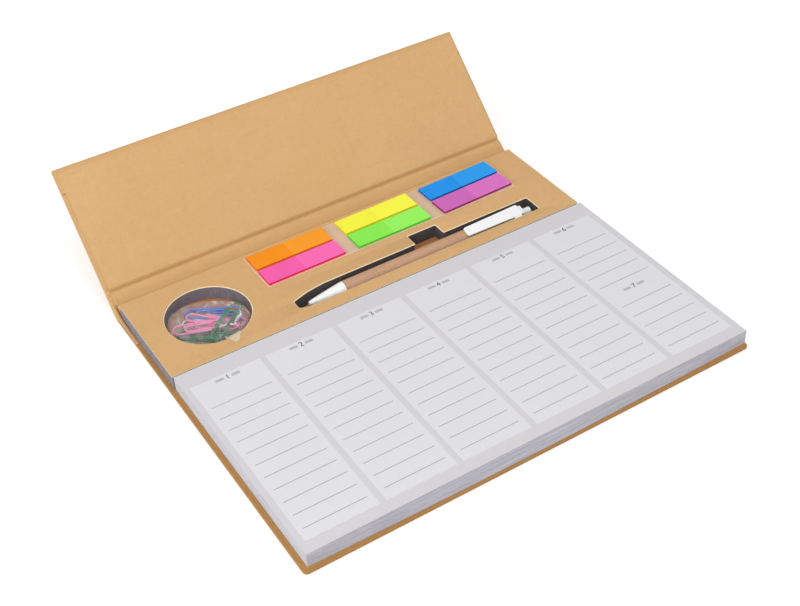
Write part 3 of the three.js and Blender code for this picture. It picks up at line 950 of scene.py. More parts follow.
def swept_sheet(draft: Draft, profile: Outline, thickness: float, span: tuple[float, float],
                rims: Sequence[float] = (), end_finish: int = 0) -> None:
    """Add a sheet that keeps one profile along X.

    Args:
        draft: The draft to add to.
        profile: Pairs of Y and Z of the upper side, front to back.
        thickness: The sheet's thickness, below the profile.
        span: X of both ends.
        rims: How much painted crease shade each point of the upper side gets.
        end_finish: Number of the finish of both ends.
    """
    lower = []
    for index, (y, z) in enumerate(profile):
        ahead = profile[min(index + 1, len(profile) - 1)]
        behind = profile[max(index - 1, 0)]
        along = Vector((ahead[0] - behind[0], ahead[1] - behind[1])).normalized()
        lower.append((y + along.y * thickness, z - along.x * thickness))
    loop = profile + lower[::-1]
    pressed = list(rims) + [0.0] * (len(loop) - len(rims))
    first, last = ([draft.point(x, y, z, rim) for (y, z), rim in zip(loop, pressed)]
                   for x in span)
    draft.bridge(last, first)
    draft.face(first[::-1], end_finish)
    draft.face(last, end_finish)


def swept_solid(draft: Draft, upper: Outline, lower: Outline,
                stations: Sequence[tuple[float, float]]) -> None:
    """Add a solid between two profiles of as many points, with places along X.

    Args:
        draft: The draft to add to.
        upper: Pairs of Y and Z of the upper side, front to back.
        lower: Pairs of Y and Z of the lower side.
        stations: X of each place and how far the upper side is lowered there.
    """
    rows = []
    for x, drop in stations:
        rows.append(([draft.point(x, y, z - drop) for y, z in upper],
                     [draft.point(x, y, z) for y, z in lower]))
    for (top, under), (next_top, next_under) in zip(rows, rows[1:]):
        loop, next_loop = top + under[::-1], next_top + next_under[::-1]
        draft.bridge(loop, next_loop)
    for top, under in (rows[0], rows[-1]):
        draft.bridge(under, top, closed=False)


# Geometry node trees for what repeats or follows a path.


def plain_mesh(holder: bpy.types.Object) -> bpy.types.Mesh:
    """Return the mesh that an object makes, and remove the object."""
    bpy.context.scene.collection.objects.link(holder)
    graph = bpy.context.evaluated_depsgraph_get()
    graph.update()
    mesh = bpy.data.meshes.new_from_object(holder.evaluated_get(graph), depsgraph=graph)
    bpy.data.objects.remove(holder)
    return mesh


class Growth:
    """A geometry node tree with named inputs, run on nothing or on a given shape."""

    def __init__(self, name: str, inputs: dict[str, tuple[str, object]]) -> None:
        """Start the tree.

        Args:
            name: The tree's name.
            inputs: Socket kind and usual value of each named input.
        """
        self.tree = bpy.data.node_groups.new(name, "GeometryNodeTree")
        self.tree.interface.new_socket("Geometry", in_out="INPUT", socket_type="NodeSocketGeometry")
        self.keys: dict[str, str] = {}
        for label, (kind, value) in inputs.items():
            socket = self.tree.interface.new_socket(label, in_out="INPUT",
                                                    socket_type=f"NodeSocket{kind}")
            if value is not None:
                socket.default_value = value
            self.keys[label] = socket.identifier
        self.tree.interface.new_socket("Geometry", in_out="OUTPUT",
                                       socket_type="NodeSocketGeometry")
        self.graph = Graph(self.tree)
        self.given = self.graph.add("NodeGroupInput").outputs
        self.out = self.graph.add("NodeGroupOutput")

    def close(self, geometry: bpy.types.NodeSocket, smooth: bool) -> None:
        """End the tree in Realize Instances and Set Material.

        Args:
            geometry: What the tree has made.
            smooth: Whether its faces are shaded smooth.
        """
        real = self.graph.add("GeometryNodeRealizeInstances", {0: geometry})
        shaded = self.graph.add("GeometryNodeSetShadeSmooth", {0: real.outputs[0],
                                                              "Shade Smooth": smooth})
        dressed = self.graph.add("GeometryNodeSetMaterial", {0: shaded.outputs[0],
                                                             "Material": self.given["Material"]})
        self.tree.links.new(dressed.outputs[0], self.out.inputs[0])

    def grow(self, values: dict[str, object],
             seed_shape: bpy.types.ID | None = None) -> bpy.types.Mesh:
        """Run the tree and return the result as a plain mesh.

        Args:
            values: Values of the named inputs.
            seed_shape: Mesh or curve that the tree starts from.

        Returns:
            The grown mesh.
        """
        holder = bpy.data.objects.new("growing", seed_shape or bpy.data.meshes.new("seed"))
        modifier = holder.modifiers.new("growth", "NODES")
        modifier.node_group = self.tree
        for label, value in values.items():
            modifier[self.keys[label]] = value
        return plain_mesh(holder)


def leaf_stack_tree() -> Growth:
    """Build the tree that stacks thin leaves, each a little out of line with the next."""
    growth = Growth("stack of leaves", {
        "Count": ("Int", 20), "Width": ("Float", 100.0), "Depth": ("Float", 50.0),
        "Leaf": ("Float", 0.2), "Spread": ("Float", 0.2), "Low Corner": ("Vector", (0, 0, 0)),
        "Bulge": ("Float", 0.0), "Seed": ("Int", 1), "Material": ("Material", None)})
    graph, given = growth.graph, growth.given
    half = graph.vector(given["Width"], given["Depth"], given["Leaf"])
    middle = graph.vector_maths("MULTIPLY_ADD", half, (0.5, 0.5, 0.5), given["Low Corner"])
    line = graph.add("GeometryNodeMeshLine", {"Count": given["Count"], "Start Location": middle,
                                              "Offset": graph.vector(z=given["Leaf"])})
    inwards = graph.times(given["Spread"], -1.0)
    shrink = graph.add("FunctionNodeRandomValue", {0: graph.vector(inwards, inwards),
                                                   1: (0, 0, 0), "Seed": given["Seed"]},
                       data_type="FLOAT_VECTOR")
    size = graph.vector_maths("ADD", half, shrink.outputs[0])
    third = graph.times(given["Spread"], 0.3)
    back = graph.times(given["Spread"], -0.3)
    slide = graph.add("FunctionNodeRandomValue", {0: graph.vector(back, back),
                                                  1: graph.vector(third, third),
                                                  "Seed": graph.plus(given["Seed"], 7.0)},
                      data_type="FLOAT_VECTOR")
    moved = graph.add("GeometryNodeSetPosition", {0: line.outputs[0], "Offset": slide.outputs[0]})
    leaf = graph.add("GeometryNodeMeshCube", {"Size": (1, 1, 1), "Vertices X": 17})
    placed = graph.add("GeometryNodeInstanceOnPoints", {"Points": moved.outputs[0],
                                                        "Instance": leaf.outputs[0],
                                                        "Scale": size})
    real = graph.add("GeometryNodeRealizeInstances", {0: placed.outputs[0]})
    place = graph.add("GeometryNodeInputPosition").outputs[0]
    away = graph.vector_maths("SUBTRACT", place, given["Low Corner"])
    across = graph.vector_maths("DIVIDE", away, half)
    share = graph.add("ShaderNodeSeparateXYZ", {0: across}).outputs
    side = graph.maths("SUBTRACT", graph.times(share[0], 2.0), 1.0)
    arch = graph.maths("SUBTRACT", 1.0, graph.times(side, side))
    fan = graph.maths("SUBTRACT", 1.0, graph.maths("DIVIDE", share[2], given["Count"]))
    front = graph.maths("LESS_THAN", share[1], 0.5)
    reach = graph.times(graph.times(arch, fan), graph.times(front, given["Bulge"]))
    fanned = graph.add("GeometryNodeSetPosition", {
        0: real.outputs[0], "Offset": graph.vector(y=graph.times(reach, -1.0))})
    growth.close(fanned.outputs[0], smooth=False)
    return growth


def ruled_lines_tree() -> Growth:
    """Build the tree that sets ruled lines at one pitch."""
    growth = Growth("ruled lines", {
        "Count": ("Int", 11), "Pitch": ("Float", 8.6), "Length": ("Float", 30.0),
        "Stroke": ("Float", 0.3), "Height": ("Float", 0.03), "First": ("Vector", (0, 0, 0)),
        "Material": ("Material", None)})
    graph, given = growth.graph, growth.given
    line = graph.add("GeometryNodeMeshLine", {"Count": given["Count"],
                                              "Start Location": given["First"],
                                              "Offset": graph.vector(y=given["Pitch"])})
    size = graph.vector(given["Length"], given["Stroke"], given["Height"])
    stroke = graph.add("GeometryNodeMeshCube", {"Size": size})
    placed = graph.add("GeometryNodeInstanceOnPoints", {"Points": line.outputs[0],
                                                        "Instance": stroke.outputs[0]})
    growth.close(placed.outputs[0], smooth=False)
    return growth


def wire_tree() -> Growth:
    """Build the tree that gives a path the round section of a wire."""
    growth = Growth("round wire", {"Radius": ("Float", 0.5), "Sides": ("Int", 12),
                                   "Material": ("Material", None)})
    graph, given = growth.graph, growth.given
    section = graph.add("GeometryNodeCurvePrimitiveCircle", {"Resolution": given["Sides"],
                                                             "Radius": given["Radius"]})
    tube = graph.add("GeometryNodeCurveToMesh", {"Curve": given["Geometry"],
                                                 "Profile Curve": section.outputs[0],
                                                 "Fill Caps": True})
    growth.close(tube.outputs[0], smooth=True)
    return growth


def wire_path(points: Sequence[Vector]) -> bpy.types.Curve:
    """Return an open path through points, as a poly curve."""
    curve = bpy.data.curves.new("wire path", "CURVE")
    curve.dimensions = "3D"
    spline = curve.splines.new("POLY")
    spline.points.add(len(points) - 1)
    for knot, place in zip(spline.points, points):
        knot.co = (*place, 1.0)
    return curve


# The planner's pieces.


@dataclass
class Workshop:
    """Materials made once each, and the record of the pieces that are done."""

    materials: dict[str, bpy.types.Material] = field(default_factory=dict)
    done: list[str] = field(default_factory=list)

    def coat(self, finish: object) -> bpy.types.Material:
        """Return a finish's material, made on first use."""
        recipe = finish.value if isinstance(finish, Enum) else finish
        if recipe.name not in self.materials:
            self.materials[recipe.name] = recipe.make()
        return self.materials[recipe.name]

    def hang(self, piece: bpy.types.Object, body: str, slot: str,
             stands_for: Sequence[str] = ()) -> None:
        """Put a finished piece on a body of the frame and report it.

        Args:
            piece: The finished object.
            body: Name of the body that it moves with.
            slot: Not used.
            stands_for: CAD nodes that it replaces.
        """
        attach(piece, body)
        self.settle(piece, stands_for)

    def bend(self, piece: bpy.types.Object, bodies: tuple[str, str], slot: str,
             start: tuple[float, float], end: tuple[float, float]) -> None:
        """Bake a piece of paper's place into its mesh and report it, without putting it on a body.

        Args:
            piece: The finished object.
            bodies: Not used.
            slot: Not used.
            start: Not used.
            end: Not used.
        """
        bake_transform(piece)
        self.settle(piece, ())

    def settle(self, piece: bpy.types.Object, stands_for: Sequence[str]) -> None:
        """Hide the nodes that the piece replaces, and report it."""
        if stands_for:
            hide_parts(*stands_for)
        self.done.append(piece.name)
        LOG.info("%s: %d faces", piece.name, len(piece.data.polygons))


@dataclass
class CoverCase:
    """The kraft-covered boards, their paper joints and the sheet that lines them."""

    width: float = 246.0
    depth: float = 195.8
    board: float = 2.2
    edge_round: float = 0.86
    corner: float = 2.2
    flap_corner: float = 1.0
    flap_width: float = 245.2
    hinge_y: float = 196.8
    hinge_gap: float = 1.0
    lean_deg: float = 43.75
    spine_length: float = 13.7
    lid_length: float = 68.7
    lining: float = 0.2
    lining_left: float = 2.2
    lining_right: float = 243.9
    lining_edge: float = 3.0
    turn_in: float = 13.6
    groove_half: float = 2.0
    groove_depth: float = 0.9
    ramp_start: float = 171.0
    fold_landing: float = 8.4
    tray_back: float = 194.5
    tray_top: float = 10.3
    floor_inset: tuple[float, float] = (3.4, 3.2)
    floor_trim: tuple[float, float] = (6.6, 7.0)
    floor_paper: float = 0.13
    fold_inset: float = 0.45
    fold_width: float = 1.9
    fold_trim: float = 0.9

    def flap(self) -> Matrix:
        """Return the frame of spine and lid: X, up the slope, out of the inner face."""
        place = Matrix.Translation((0, self.hinge_y, self.board / 2))
        return place @ Matrix.Rotation(math.radians(self.lean_deg), 4, "X")

    def on_flap(self, up: float, out: float) -> tuple[float, float]:
        """Return the plan Y and Z of a place on the slope."""
        place = self.flap() @ Vector((0, up, out))
        return place.y, place.z

    def lid_bend(self) -> Outline:
        """Return the plan Y and Z on either side of the lid's hinge line."""
        return [self.on_flap(self.spine_length + side, 0) for side in (-1, 1)]

    def build(self, shop: Workshop) -> None:
        """Build the boards, the joints and the lining.

        Args:
            shop: Where materials and pieces are kept.
        """
        self.build_boards(shop)
        self.build_joints(shop)
        self.build_lining(shop)

    def build_boards(self, shop: Workshop) -> None:
        """Build the base, spine and lid boards in their cover paper."""
        # The base takes the darker cover paper, whose colour paints the shade on its sides and
        # margins.
        cover = shop.coat(Kraft.COVER)
        floor = shop.coat(Kraft.FLOOR)
        half = self.board / 2
        base = Draft()
        base.slab((0, 0, 0), (self.width, self.depth, self.board), self.corner, self.edge_round,
                  margin=1.6)
        base.slab((*self.floor_inset, self.board - 0.1),
                  (self.width - self.floor_trim[0], self.depth - self.floor_trim[1],
                   self.floor_paper), 0.3, 0.03, finishes=(1, 1, 1), margin=0.3)
        shop.hang(base.finished("cover_base", (cover, floor)), "root", "kraft_cover",
                  ["base_panel"])
        margin = shop.coat(Kraft.MARGIN)
        spine = Draft(self.flap())
        spine.slab((0, self.hinge_gap, -half),
                   (self.flap_width, self.spine_length - 2 * self.hinge_gap, self.board),
                   self.flap_corner, self.edge_round, margin=1.2)
        shop.hang(spine.finished("cover_spine", (margin,)), "spine", "kraft_cover",
                  ["spine_strip"])
        lid = Draft(self.flap())
        start = self.spine_length + self.hinge_gap
        length = self.lid_length - self.hinge_gap
        lid.slab((0, start, -half), (self.flap_width, length, self.board),
                 self.flap_corner, self.edge_round, margin=1.6)
        fold_start = start + length - self.turn_in
        right = self.flap_width - self.fold_inset - self.fold_width
        for left in (self.fold_inset, right):
            lid.slab((left, fold_start, half - 0.1),
                     (self.fold_width, self.turn_in - self.fold_trim, 0.2), 0.1, 0.08, margin=0.1)
            # A narrow strip in the darker lining-edge kraft paints the shade at the end of each
            # turn-in.
            lid.slab((left, fold_start - 0.3, half - 0.1), (self.fold_width, 0.5, 0.24), 0.05, 0.05,
                     (1, 1, 1), 0.05)
        finishes = (margin, shop.coat(Kraft.LINING_EDGE))
        shop.hang(lid.finished("cover_lid", finishes), "lid", "kraft_cover", ["lid_panel"])

    def build_joints(self, shop: Workshop) -> None:
        """Build the paper that joins base to spine and spine to lid on the outside."""
        margin = shop.coat(Kraft.MARGIN)
        half = self.board / 2
        start, end = self.depth - 1.0, self.hinge_gap + 0.9
        sides = []
        for level, out in ((self.board - 0.25, half - 0.25), (0.3, -half + 0.3)):
            sides.append(curve_points(((start, level), (self.hinge_y - 0.5, level - 0.05),
                                       self.on_flap(0.2, out * 0.9), self.on_flap(end, out)), 12))
        ends = ((0.04, 0.6), (0.3, 0.15), (0.8, 0.0), (self.flap_width - 0.8, 0.0),
                (self.flap_width - 0.3, 0.15), (self.flap_width - 0.04, 0.6))
        joint = Draft()
        swept_solid(joint, sides[0], sides[1], ends)
        shop.bend(joint.finished("base_joint_paper", (margin,), 60), ("root", "spine"),
                  "kraft_cover", (start, half), self.on_flap(end, 0))
        joint = Draft(self.flap())
        upper, under = [], []
        for step in range(17):
            share = step / 8 - 1
            up = self.spine_length + share * (self.groove_half + 0.9)
            dip = 0.5 + 0.5 * math.cos(math.pi * share)
            upper.append((up, half - 0.06 - 0.8 * dip))
            under.append((up, -half + 0.1 + 0.45 * dip))
        swept_solid(joint, upper, under, ends)
        shop.bend(joint.finished("lid_joint_paper", (margin,), 60), ("spine", "lid"),
                  "kraft_cover", *self.lid_bend())
        self.build_ramps(shop)

    def build_ramps(self, shop: Workshop) -> None:
        """Build the cover's margin where it rises from the base to the spine at both ends."""
        margin = shop.coat(Kraft.MARGIN)
        face = self.board / 2 + 0.02
        upper = curve_points((
            (self.ramp_start, self.board + 0.03), (self.depth - 8, self.board + 0.1),
            self.on_flap(1.0, face + 1.3), self.on_flap(6.6, face)), 18)
        upper.append(self.on_flap(9.0, face))
        lower = [(blend_value(self.ramp_start, self.depth - 1, step / 13), self.board - 0.12)
                 for step in range(14)]
        lower.extend(self.on_flap(up, face - 0.15) for up in (1.9, 3.4, 5.0, 6.6, 8.2, 9.0))
        ends = ((0.12, 1.9), (self.flap_width - 1.6, self.flap_width - 0.1))
        for name, (left, right) in zip(("left", "right"), ends):
            ramp = Draft()
            swept_solid(ramp, upper, lower, ((left, 0.3), (left + 0.3, 0.0), (right - 0.3, 0.0),
                                             (right, 0.3)))
            shop.bend(ramp.finished(f"{name}_margin_ramp", (margin,), 50), ("root", "spine"),
                      "kraft_cover", (self.depth - 3, self.board), self.on_flap(4.0, face))

    def build_lining(self, shop: Workshop) -> None:
        """Build the kraft sheet that runs from the tray over the spine and up the lid."""
        lining = shop.coat(Kraft.LINING)
        inner = self.board / 2 + self.lining
        landing = self.on_flap(self.fold_landing, inner)
        turn = self.on_flap(self.fold_landing - 5.0, inner)
        fold = curve_points(((self.tray_back, self.tray_top),
                             (self.tray_back + 2.0, self.tray_top - 0.5), turn, landing), 20)
        fold.append(self.on_flap(11.6, inner))
        # These crease values paint shade in the valley just behind the tray's back edge.
        creases = [0.42 * math.sin(math.pi * min(1.0, 0.08 + step / 24)) ** 0.7
                   for step in range(21)]
        # The ends of the lining sheets take the darker lining-edge kraft, which paints the shade
        # along their sides.
        finishes = (lining, shop.coat(Kraft.LINING_EDGE))
        span = (self.lining_left, self.lining_right)
        sheet = Draft()
        swept_sheet(sheet, fold, self.lining, span, creases, 1)
        under = [(blend_value(self.tray_back, self.depth, step / 21),
                  blend_value(3.0, 3.6, step / 21)) for step in range(22)]
        tucked = [(y, z - 0.1) for y, z in fold]
        for left in (span[0] + 0.25, span[1] - 1.15):
            swept_solid(sheet, tucked, under, ((left, 0.0), (left + 0.9, 0.0)))
        shop.bend(sheet.finished("lining_fold", finishes, 70), ("root", "spine"), "kraft_card",
                  fold[0], landing)
        groove = Draft(self.flap())
        # These crease values paint shade along the valley of the groove.
        profile, creases = [(11.6, inner)], [0.0]
        for step in range(25):
            share = step / 12 - 1
            dip = min(1.0, 1.25 * (0.5 + 0.5 * math.cos(math.pi * share)) ** 1.1)
            profile.append((self.spine_length + share * self.groove_half,
                            inner - self.groove_depth * dip))
            creases.append(math.exp(-((share - 0.05) / 0.34) ** 2))
        profile.append((self.spine_length + 2.6, inner + 0.01))
        profile.append((self.spine_length + 4.6, inner + 0.01))
        swept_sheet(groove, profile, self.lining, span, creases, 1)
        shop.bend(groove.finished("lining_groove", finishes, 70), ("spine", "lid"), "kraft_card",
                  *self.lid_bend())
        face = Draft(self.flap())
        top = self.spine_length + self.lid_length - self.lining_edge
        swept_sheet(face, [(self.spine_length + 3.2, inner), (top, inner)], self.lining, span,
                    end_finish=1)
        shop.hang(face.finished("lid_lining", finishes), "lid", "kraft_card")


@dataclass
class Tray:
    """The foam tray and the lined card on it, cut out for the clips and the pen."""

    left: float = 2.0
    front: float = 130.9
    width: float = 241.9
    depth: float = 63.6
    floor: float = 2.2
    foam: float = 7.7
    card: float = 0.4
    overhang: float = 0.25
    lip: float = 0.34
    hole: tuple[float, float, float] = (36.4, 162.2, 21.9)
    slot_left: float = 76.3
    slot_right: float = 224.0
    slot_front: float = 139.0
    slot_back: float = 150.8
    notch_left: float = 152.0
    notch_right: float = 169.6
    notch_back: float = 159.0

    def slot(self, grow: float) -> Outline:
        """Return the pen slot's outline, clockwise, grown by a margin."""
        left, right = self.slot_left - grow, self.slot_right + grow
        front, back = self.slot_front - grow, self.slot_back + grow
        return filleted((
            (left, front + 1.4, 1.6), (left, back - 4.5, 1.8), (left + 10, back - 1.4, 26),
            (left + 20, back, 26), (self.notch_left - grow, back, 0.5),
            (self.notch_left - grow, self.notch_back + grow, 1.0),
            (self.notch_right + grow, self.notch_back + grow, 1.0),
            (self.notch_right + grow, back, 0.5), (right, back, 1.0), (right, front, 1.0),
            (left + 5, front, 9)))

    def build(self, shop: Workshop) -> None:
        """Build the foam and the lined card.

        Args:
            shop: Where materials and pieces are kept.
        """
        foam_top = self.floor + self.foam
        x, y, radius = self.hole
        outer = rounded_outline(self.left + 0.15, self.front, self.width - 0.3, self.depth - 0.1,
                                0.4)
        slot = self.slot(self.overhang)
        foam = Draft()
        foam.plate(outer, [circle(x, y, radius + self.overhang), slot], self.floor + 0.04, foam_top)
        # The slot's walls take the darker foam, which paints the shade inside the slot.
        foam.finishes[-len(slot):] = [1] * len(slot)
        finishes = (shop.coat(FOAM), shop.coat(SHADED_SLOT_FOAM))
        shop.hang(foam.finished("tray_foam_block", finishes, 30), "root", "foam", ["tray_foam"])
        outer = rounded_outline(self.left, self.front, self.width, self.depth, 0.3)
        card = Draft()
        card.plate(outer, [circle(x, y, radius), self.slot(0.0)], foam_top, foam_top + self.card,
                   (1, 0, 1, 1), [circle(x, y, radius + self.lip), self.slot(self.lip)],
                   self.lip * 0.6)
        finishes = (shop.coat(Kraft.LINING), shop.coat(Kraft.CUT_EDGE))
        shop.hang(card.finished("tray_lined_card", finishes, 30), "root", "kraft_card",
                  ["tray_card"])


@dataclass
class WeeklyPad:
    """The pad of weekly sheets with its printed top sheet."""

    left: float = 2.6
    front: float = 2.3
    width: float = 242.6
    depth: float = 128.1
    floor: float = 2.2
    height: float = 7.9
    top_sheet: float = 0.1
    leaves: int = 34
    bulge: float = 1.5
    columns: int = 6
    column_gap: float = 3.1
    columns_left: float = 3.2
    columns_right: float = 3.7
    columns_front: float = 6.5
    columns_back: float = 11.3
    rule_pitch: float = 8.6
    rule_count: int = 11
    rule_inset: float = 2.6
    first_rule: float = 6.4
    split_rule: int = 5
    rule_stroke: float = 0.34
    heading_lift: float = 116.3
    split_heading: float = 59.3

    def column_width(self) -> float:
        """Return the width of one column."""
        gaps = (self.columns - 1) * self.column_gap
        return (self.width - self.columns_left - self.columns_right - gaps) / self.columns

    def column_start(self, column: int) -> float:
        """Return the plan X of a column's left side."""
        return self.left + self.columns_left + column * (self.column_width() + self.column_gap)

    def build(self, shop: Workshop, stack: Growth, rules: Growth) -> None:
        """Build the block of leaves, the top sheet, its rules and its numerals.

        Args:
            shop: Where materials and pieces are kept.
            stack: Tree that stacks leaves.
            rules: Tree that sets ruled lines.
        """
        edges, lit_edges = shop.coat(SHADED_SHEET_EDGES), shop.coat(LIT_SHEET_EDGES)
        block = self.height - self.top_sheet
        block_mesh = stack.grow({"Count": self.leaves, "Width": self.width, "Depth": self.depth,
                                 "Leaf": block / self.leaves, "Spread": 0.3, "Seed": 11,
                                 "Bulge": self.bulge,
                                 "Low Corner": (self.left, self.front, self.floor),
                                 "Material": edges})
        leaves = Draft()
        leaves.absorb(block_mesh)
        # Front and back faces take the darker edge finish, which paints shade; the other faces take
        # the lighter one, which paints the light from the left.
        leaves.finishes = [0 if abs(polygon.normal.y) > 0.7 else 1
                           for polygon in block_mesh.polygons]
        shop.hang(leaves.finished("pad_leaves", (edges, lit_edges), 30), "root", "pad_paper",
                  ["weekly_pad"])
        self.build_top_sheet(shop)
        self.build_rules(shop, rules)
        self.build_headings(shop)

    def build_top_sheet(self, shop: Workshop) -> None:
        """Build the top sheet, with a grey ground round six white panels."""
        xs = [self.left + 0.04]
        for column in range(self.columns):
            xs.extend((self.column_start(column), self.column_start(column) + self.column_width()))
        xs.append(self.left + self.width - 0.04)
        ys = [self.front + 0.04, self.front + self.columns_front,
              self.front + self.depth - self.columns_back, self.front + self.depth - 0.04]
        top = self.floor + self.height
        low = top - self.top_sheet
        sheet = Draft()
        rows = [[sheet.point(x, y, top) for x in xs] for y in ys]
        for row in range(len(ys) - 1):
            for cell in range(len(xs) - 1):
                corners = (rows[row][cell], rows[row][cell + 1], rows[row + 1][cell + 1],
                           rows[row + 1][cell])
                sheet.face(corners, 1 if row == 1 and cell % 2 == 1 else 0)
        rim = (rows[0] + [row[-1] for row in rows[1:]] + rows[-1][-2::-1]
               + [row[0] for row in rows[-2:0:-1]])
        below = [sheet.point(*sheet.points[number].xy, low) for number in rim]
        sheet.bridge(below, rim, 2)
        sheet.face(below[::-1], 2)
        finishes = (shop.coat(Sheet.GROUND), shop.coat(Sheet.PANEL), shop.coat(SHADED_SHEET_EDGES))
        shop.hang(sheet.finished("pad_top_sheet", finishes, 30), "root", "pad_paper")

    def build_rules(self, shop: Workshop, rules: Growth) -> None:
        """Build the ruled lines of every column."""
        ink = shop.coat(Sheet.RULE)
        length = self.column_width() - 2 * self.rule_inset
        first_y = self.front + self.columns_front + self.first_rule
        runs = [(column, 0, self.rule_count) for column in range(self.columns - 1)]
        last = self.columns - 1
        runs.append((last, 0, self.split_rule))
        runs.append((last, self.split_rule + 1, self.rule_count - self.split_rule - 1))
        lines = Draft()
        for column, skipped, count in runs:
            start = (self.column_start(column) + self.column_width() / 2,
                     first_y + skipped * self.rule_pitch, self.floor + self.height + 0.005)
            lines.absorb(rules.grow({"Count": count, "Pitch": self.rule_pitch, "Length": length,
                                     "Stroke": self.rule_stroke, "Height": 0.03, "First": start,
                                     "Material": ink}))
        shop.hang(lines.finished("pad_rules", (ink,), 30), "root", "pad_paper")

    def build_headings(self, shop: Workshop) -> None:
        """Build a plain numeral between two bars at the head of each day."""
        middle = self.column_width() / 2
        heads = [(self.column_start(column) + middle, self.heading_lift)
                 for column in range(self.columns)]
        heads.append((self.column_start(self.columns - 1) + middle, self.split_heading))
        top = self.floor + self.height
        marks = Draft()
        for day, (x, y) in enumerate(heads, start=1):
            marks.frame = Matrix.Translation((x, y, top + 0.012))
            marks.absorb(numeral_mesh(str(day), 4.4))
            for side in (-1, 1):
                marks.slab((side * 4.2 - 2.2, -0.85, -0.02), (4.4, 1.7, 0.03), 0.2, 0.01,
                           (1, 1, 1), 0.05)
        finishes = (shop.coat(Sheet.HEADING), shop.coat(Sheet.FIELD))
        shop.hang(marks.finished("pad_day_marks", finishes, 30), "root", "pad_paper")


def numeral_mesh(text: str, size: float) -> bpy.types.Mesh:
    """Return a flat numeral of the given size, centred on the origin.

    Args:
        text: The numeral.
        size: Its letter size.

    Returns:
        A mesh with a slight thickness.
    """
    curve = bpy.data.curves.new("numeral", "FONT")
    curve.body = text
    curve.size = size
    curve.extrude = 0.012
    curve.align_x = "CENTER"
    curve.align_y = "CENTER"
    curve.resolution_u = 4
    mesh = plain_mesh(bpy.data.objects.new("numeral", curve))
    shell = bmesh.new()
    shell.from_mesh(mesh)
    bmesh.ops.remove_doubles(shell, verts=shell.verts, dist=1e-4)
    shell.to_mesh(mesh)
    shell.free()
    return mesh


@dataclass(frozen=True)
class TabColour:
    """One colour of index tabs: its place, its face, its deeper half and its edges."""

    name: str
    column: int
    row: int
    face: Colour
    deeper: Colour
    edge: Colour
    turn_deg: float


TAB_COLOURS = (
    TabColour("pink", 0, 0, (255, 112, 190), (255, 98, 180), (255, 24, 104), 0.3),
    TabColour("green", 1, 0, (156, 252, 100), (142, 246, 86), (84, 226, 30), 0.2),
    TabColour("purple", 2, 0, (224, 118, 203), (213, 108, 194), (160, 30, 112), 1.7),
    TabColour("orange", 0, 1, (255, 164, 42), (255, 152, 20), (255, 124, 6), 0.0),
    TabColour("yellow", 1, 1, (255, 255, 76), (255, 255, 70), (250, 244, 0), 0.7),
    TabColour("blue", 2, 1, (36, 162, 248), (18, 152, 246), (6, 108, 222), 1.7),
)


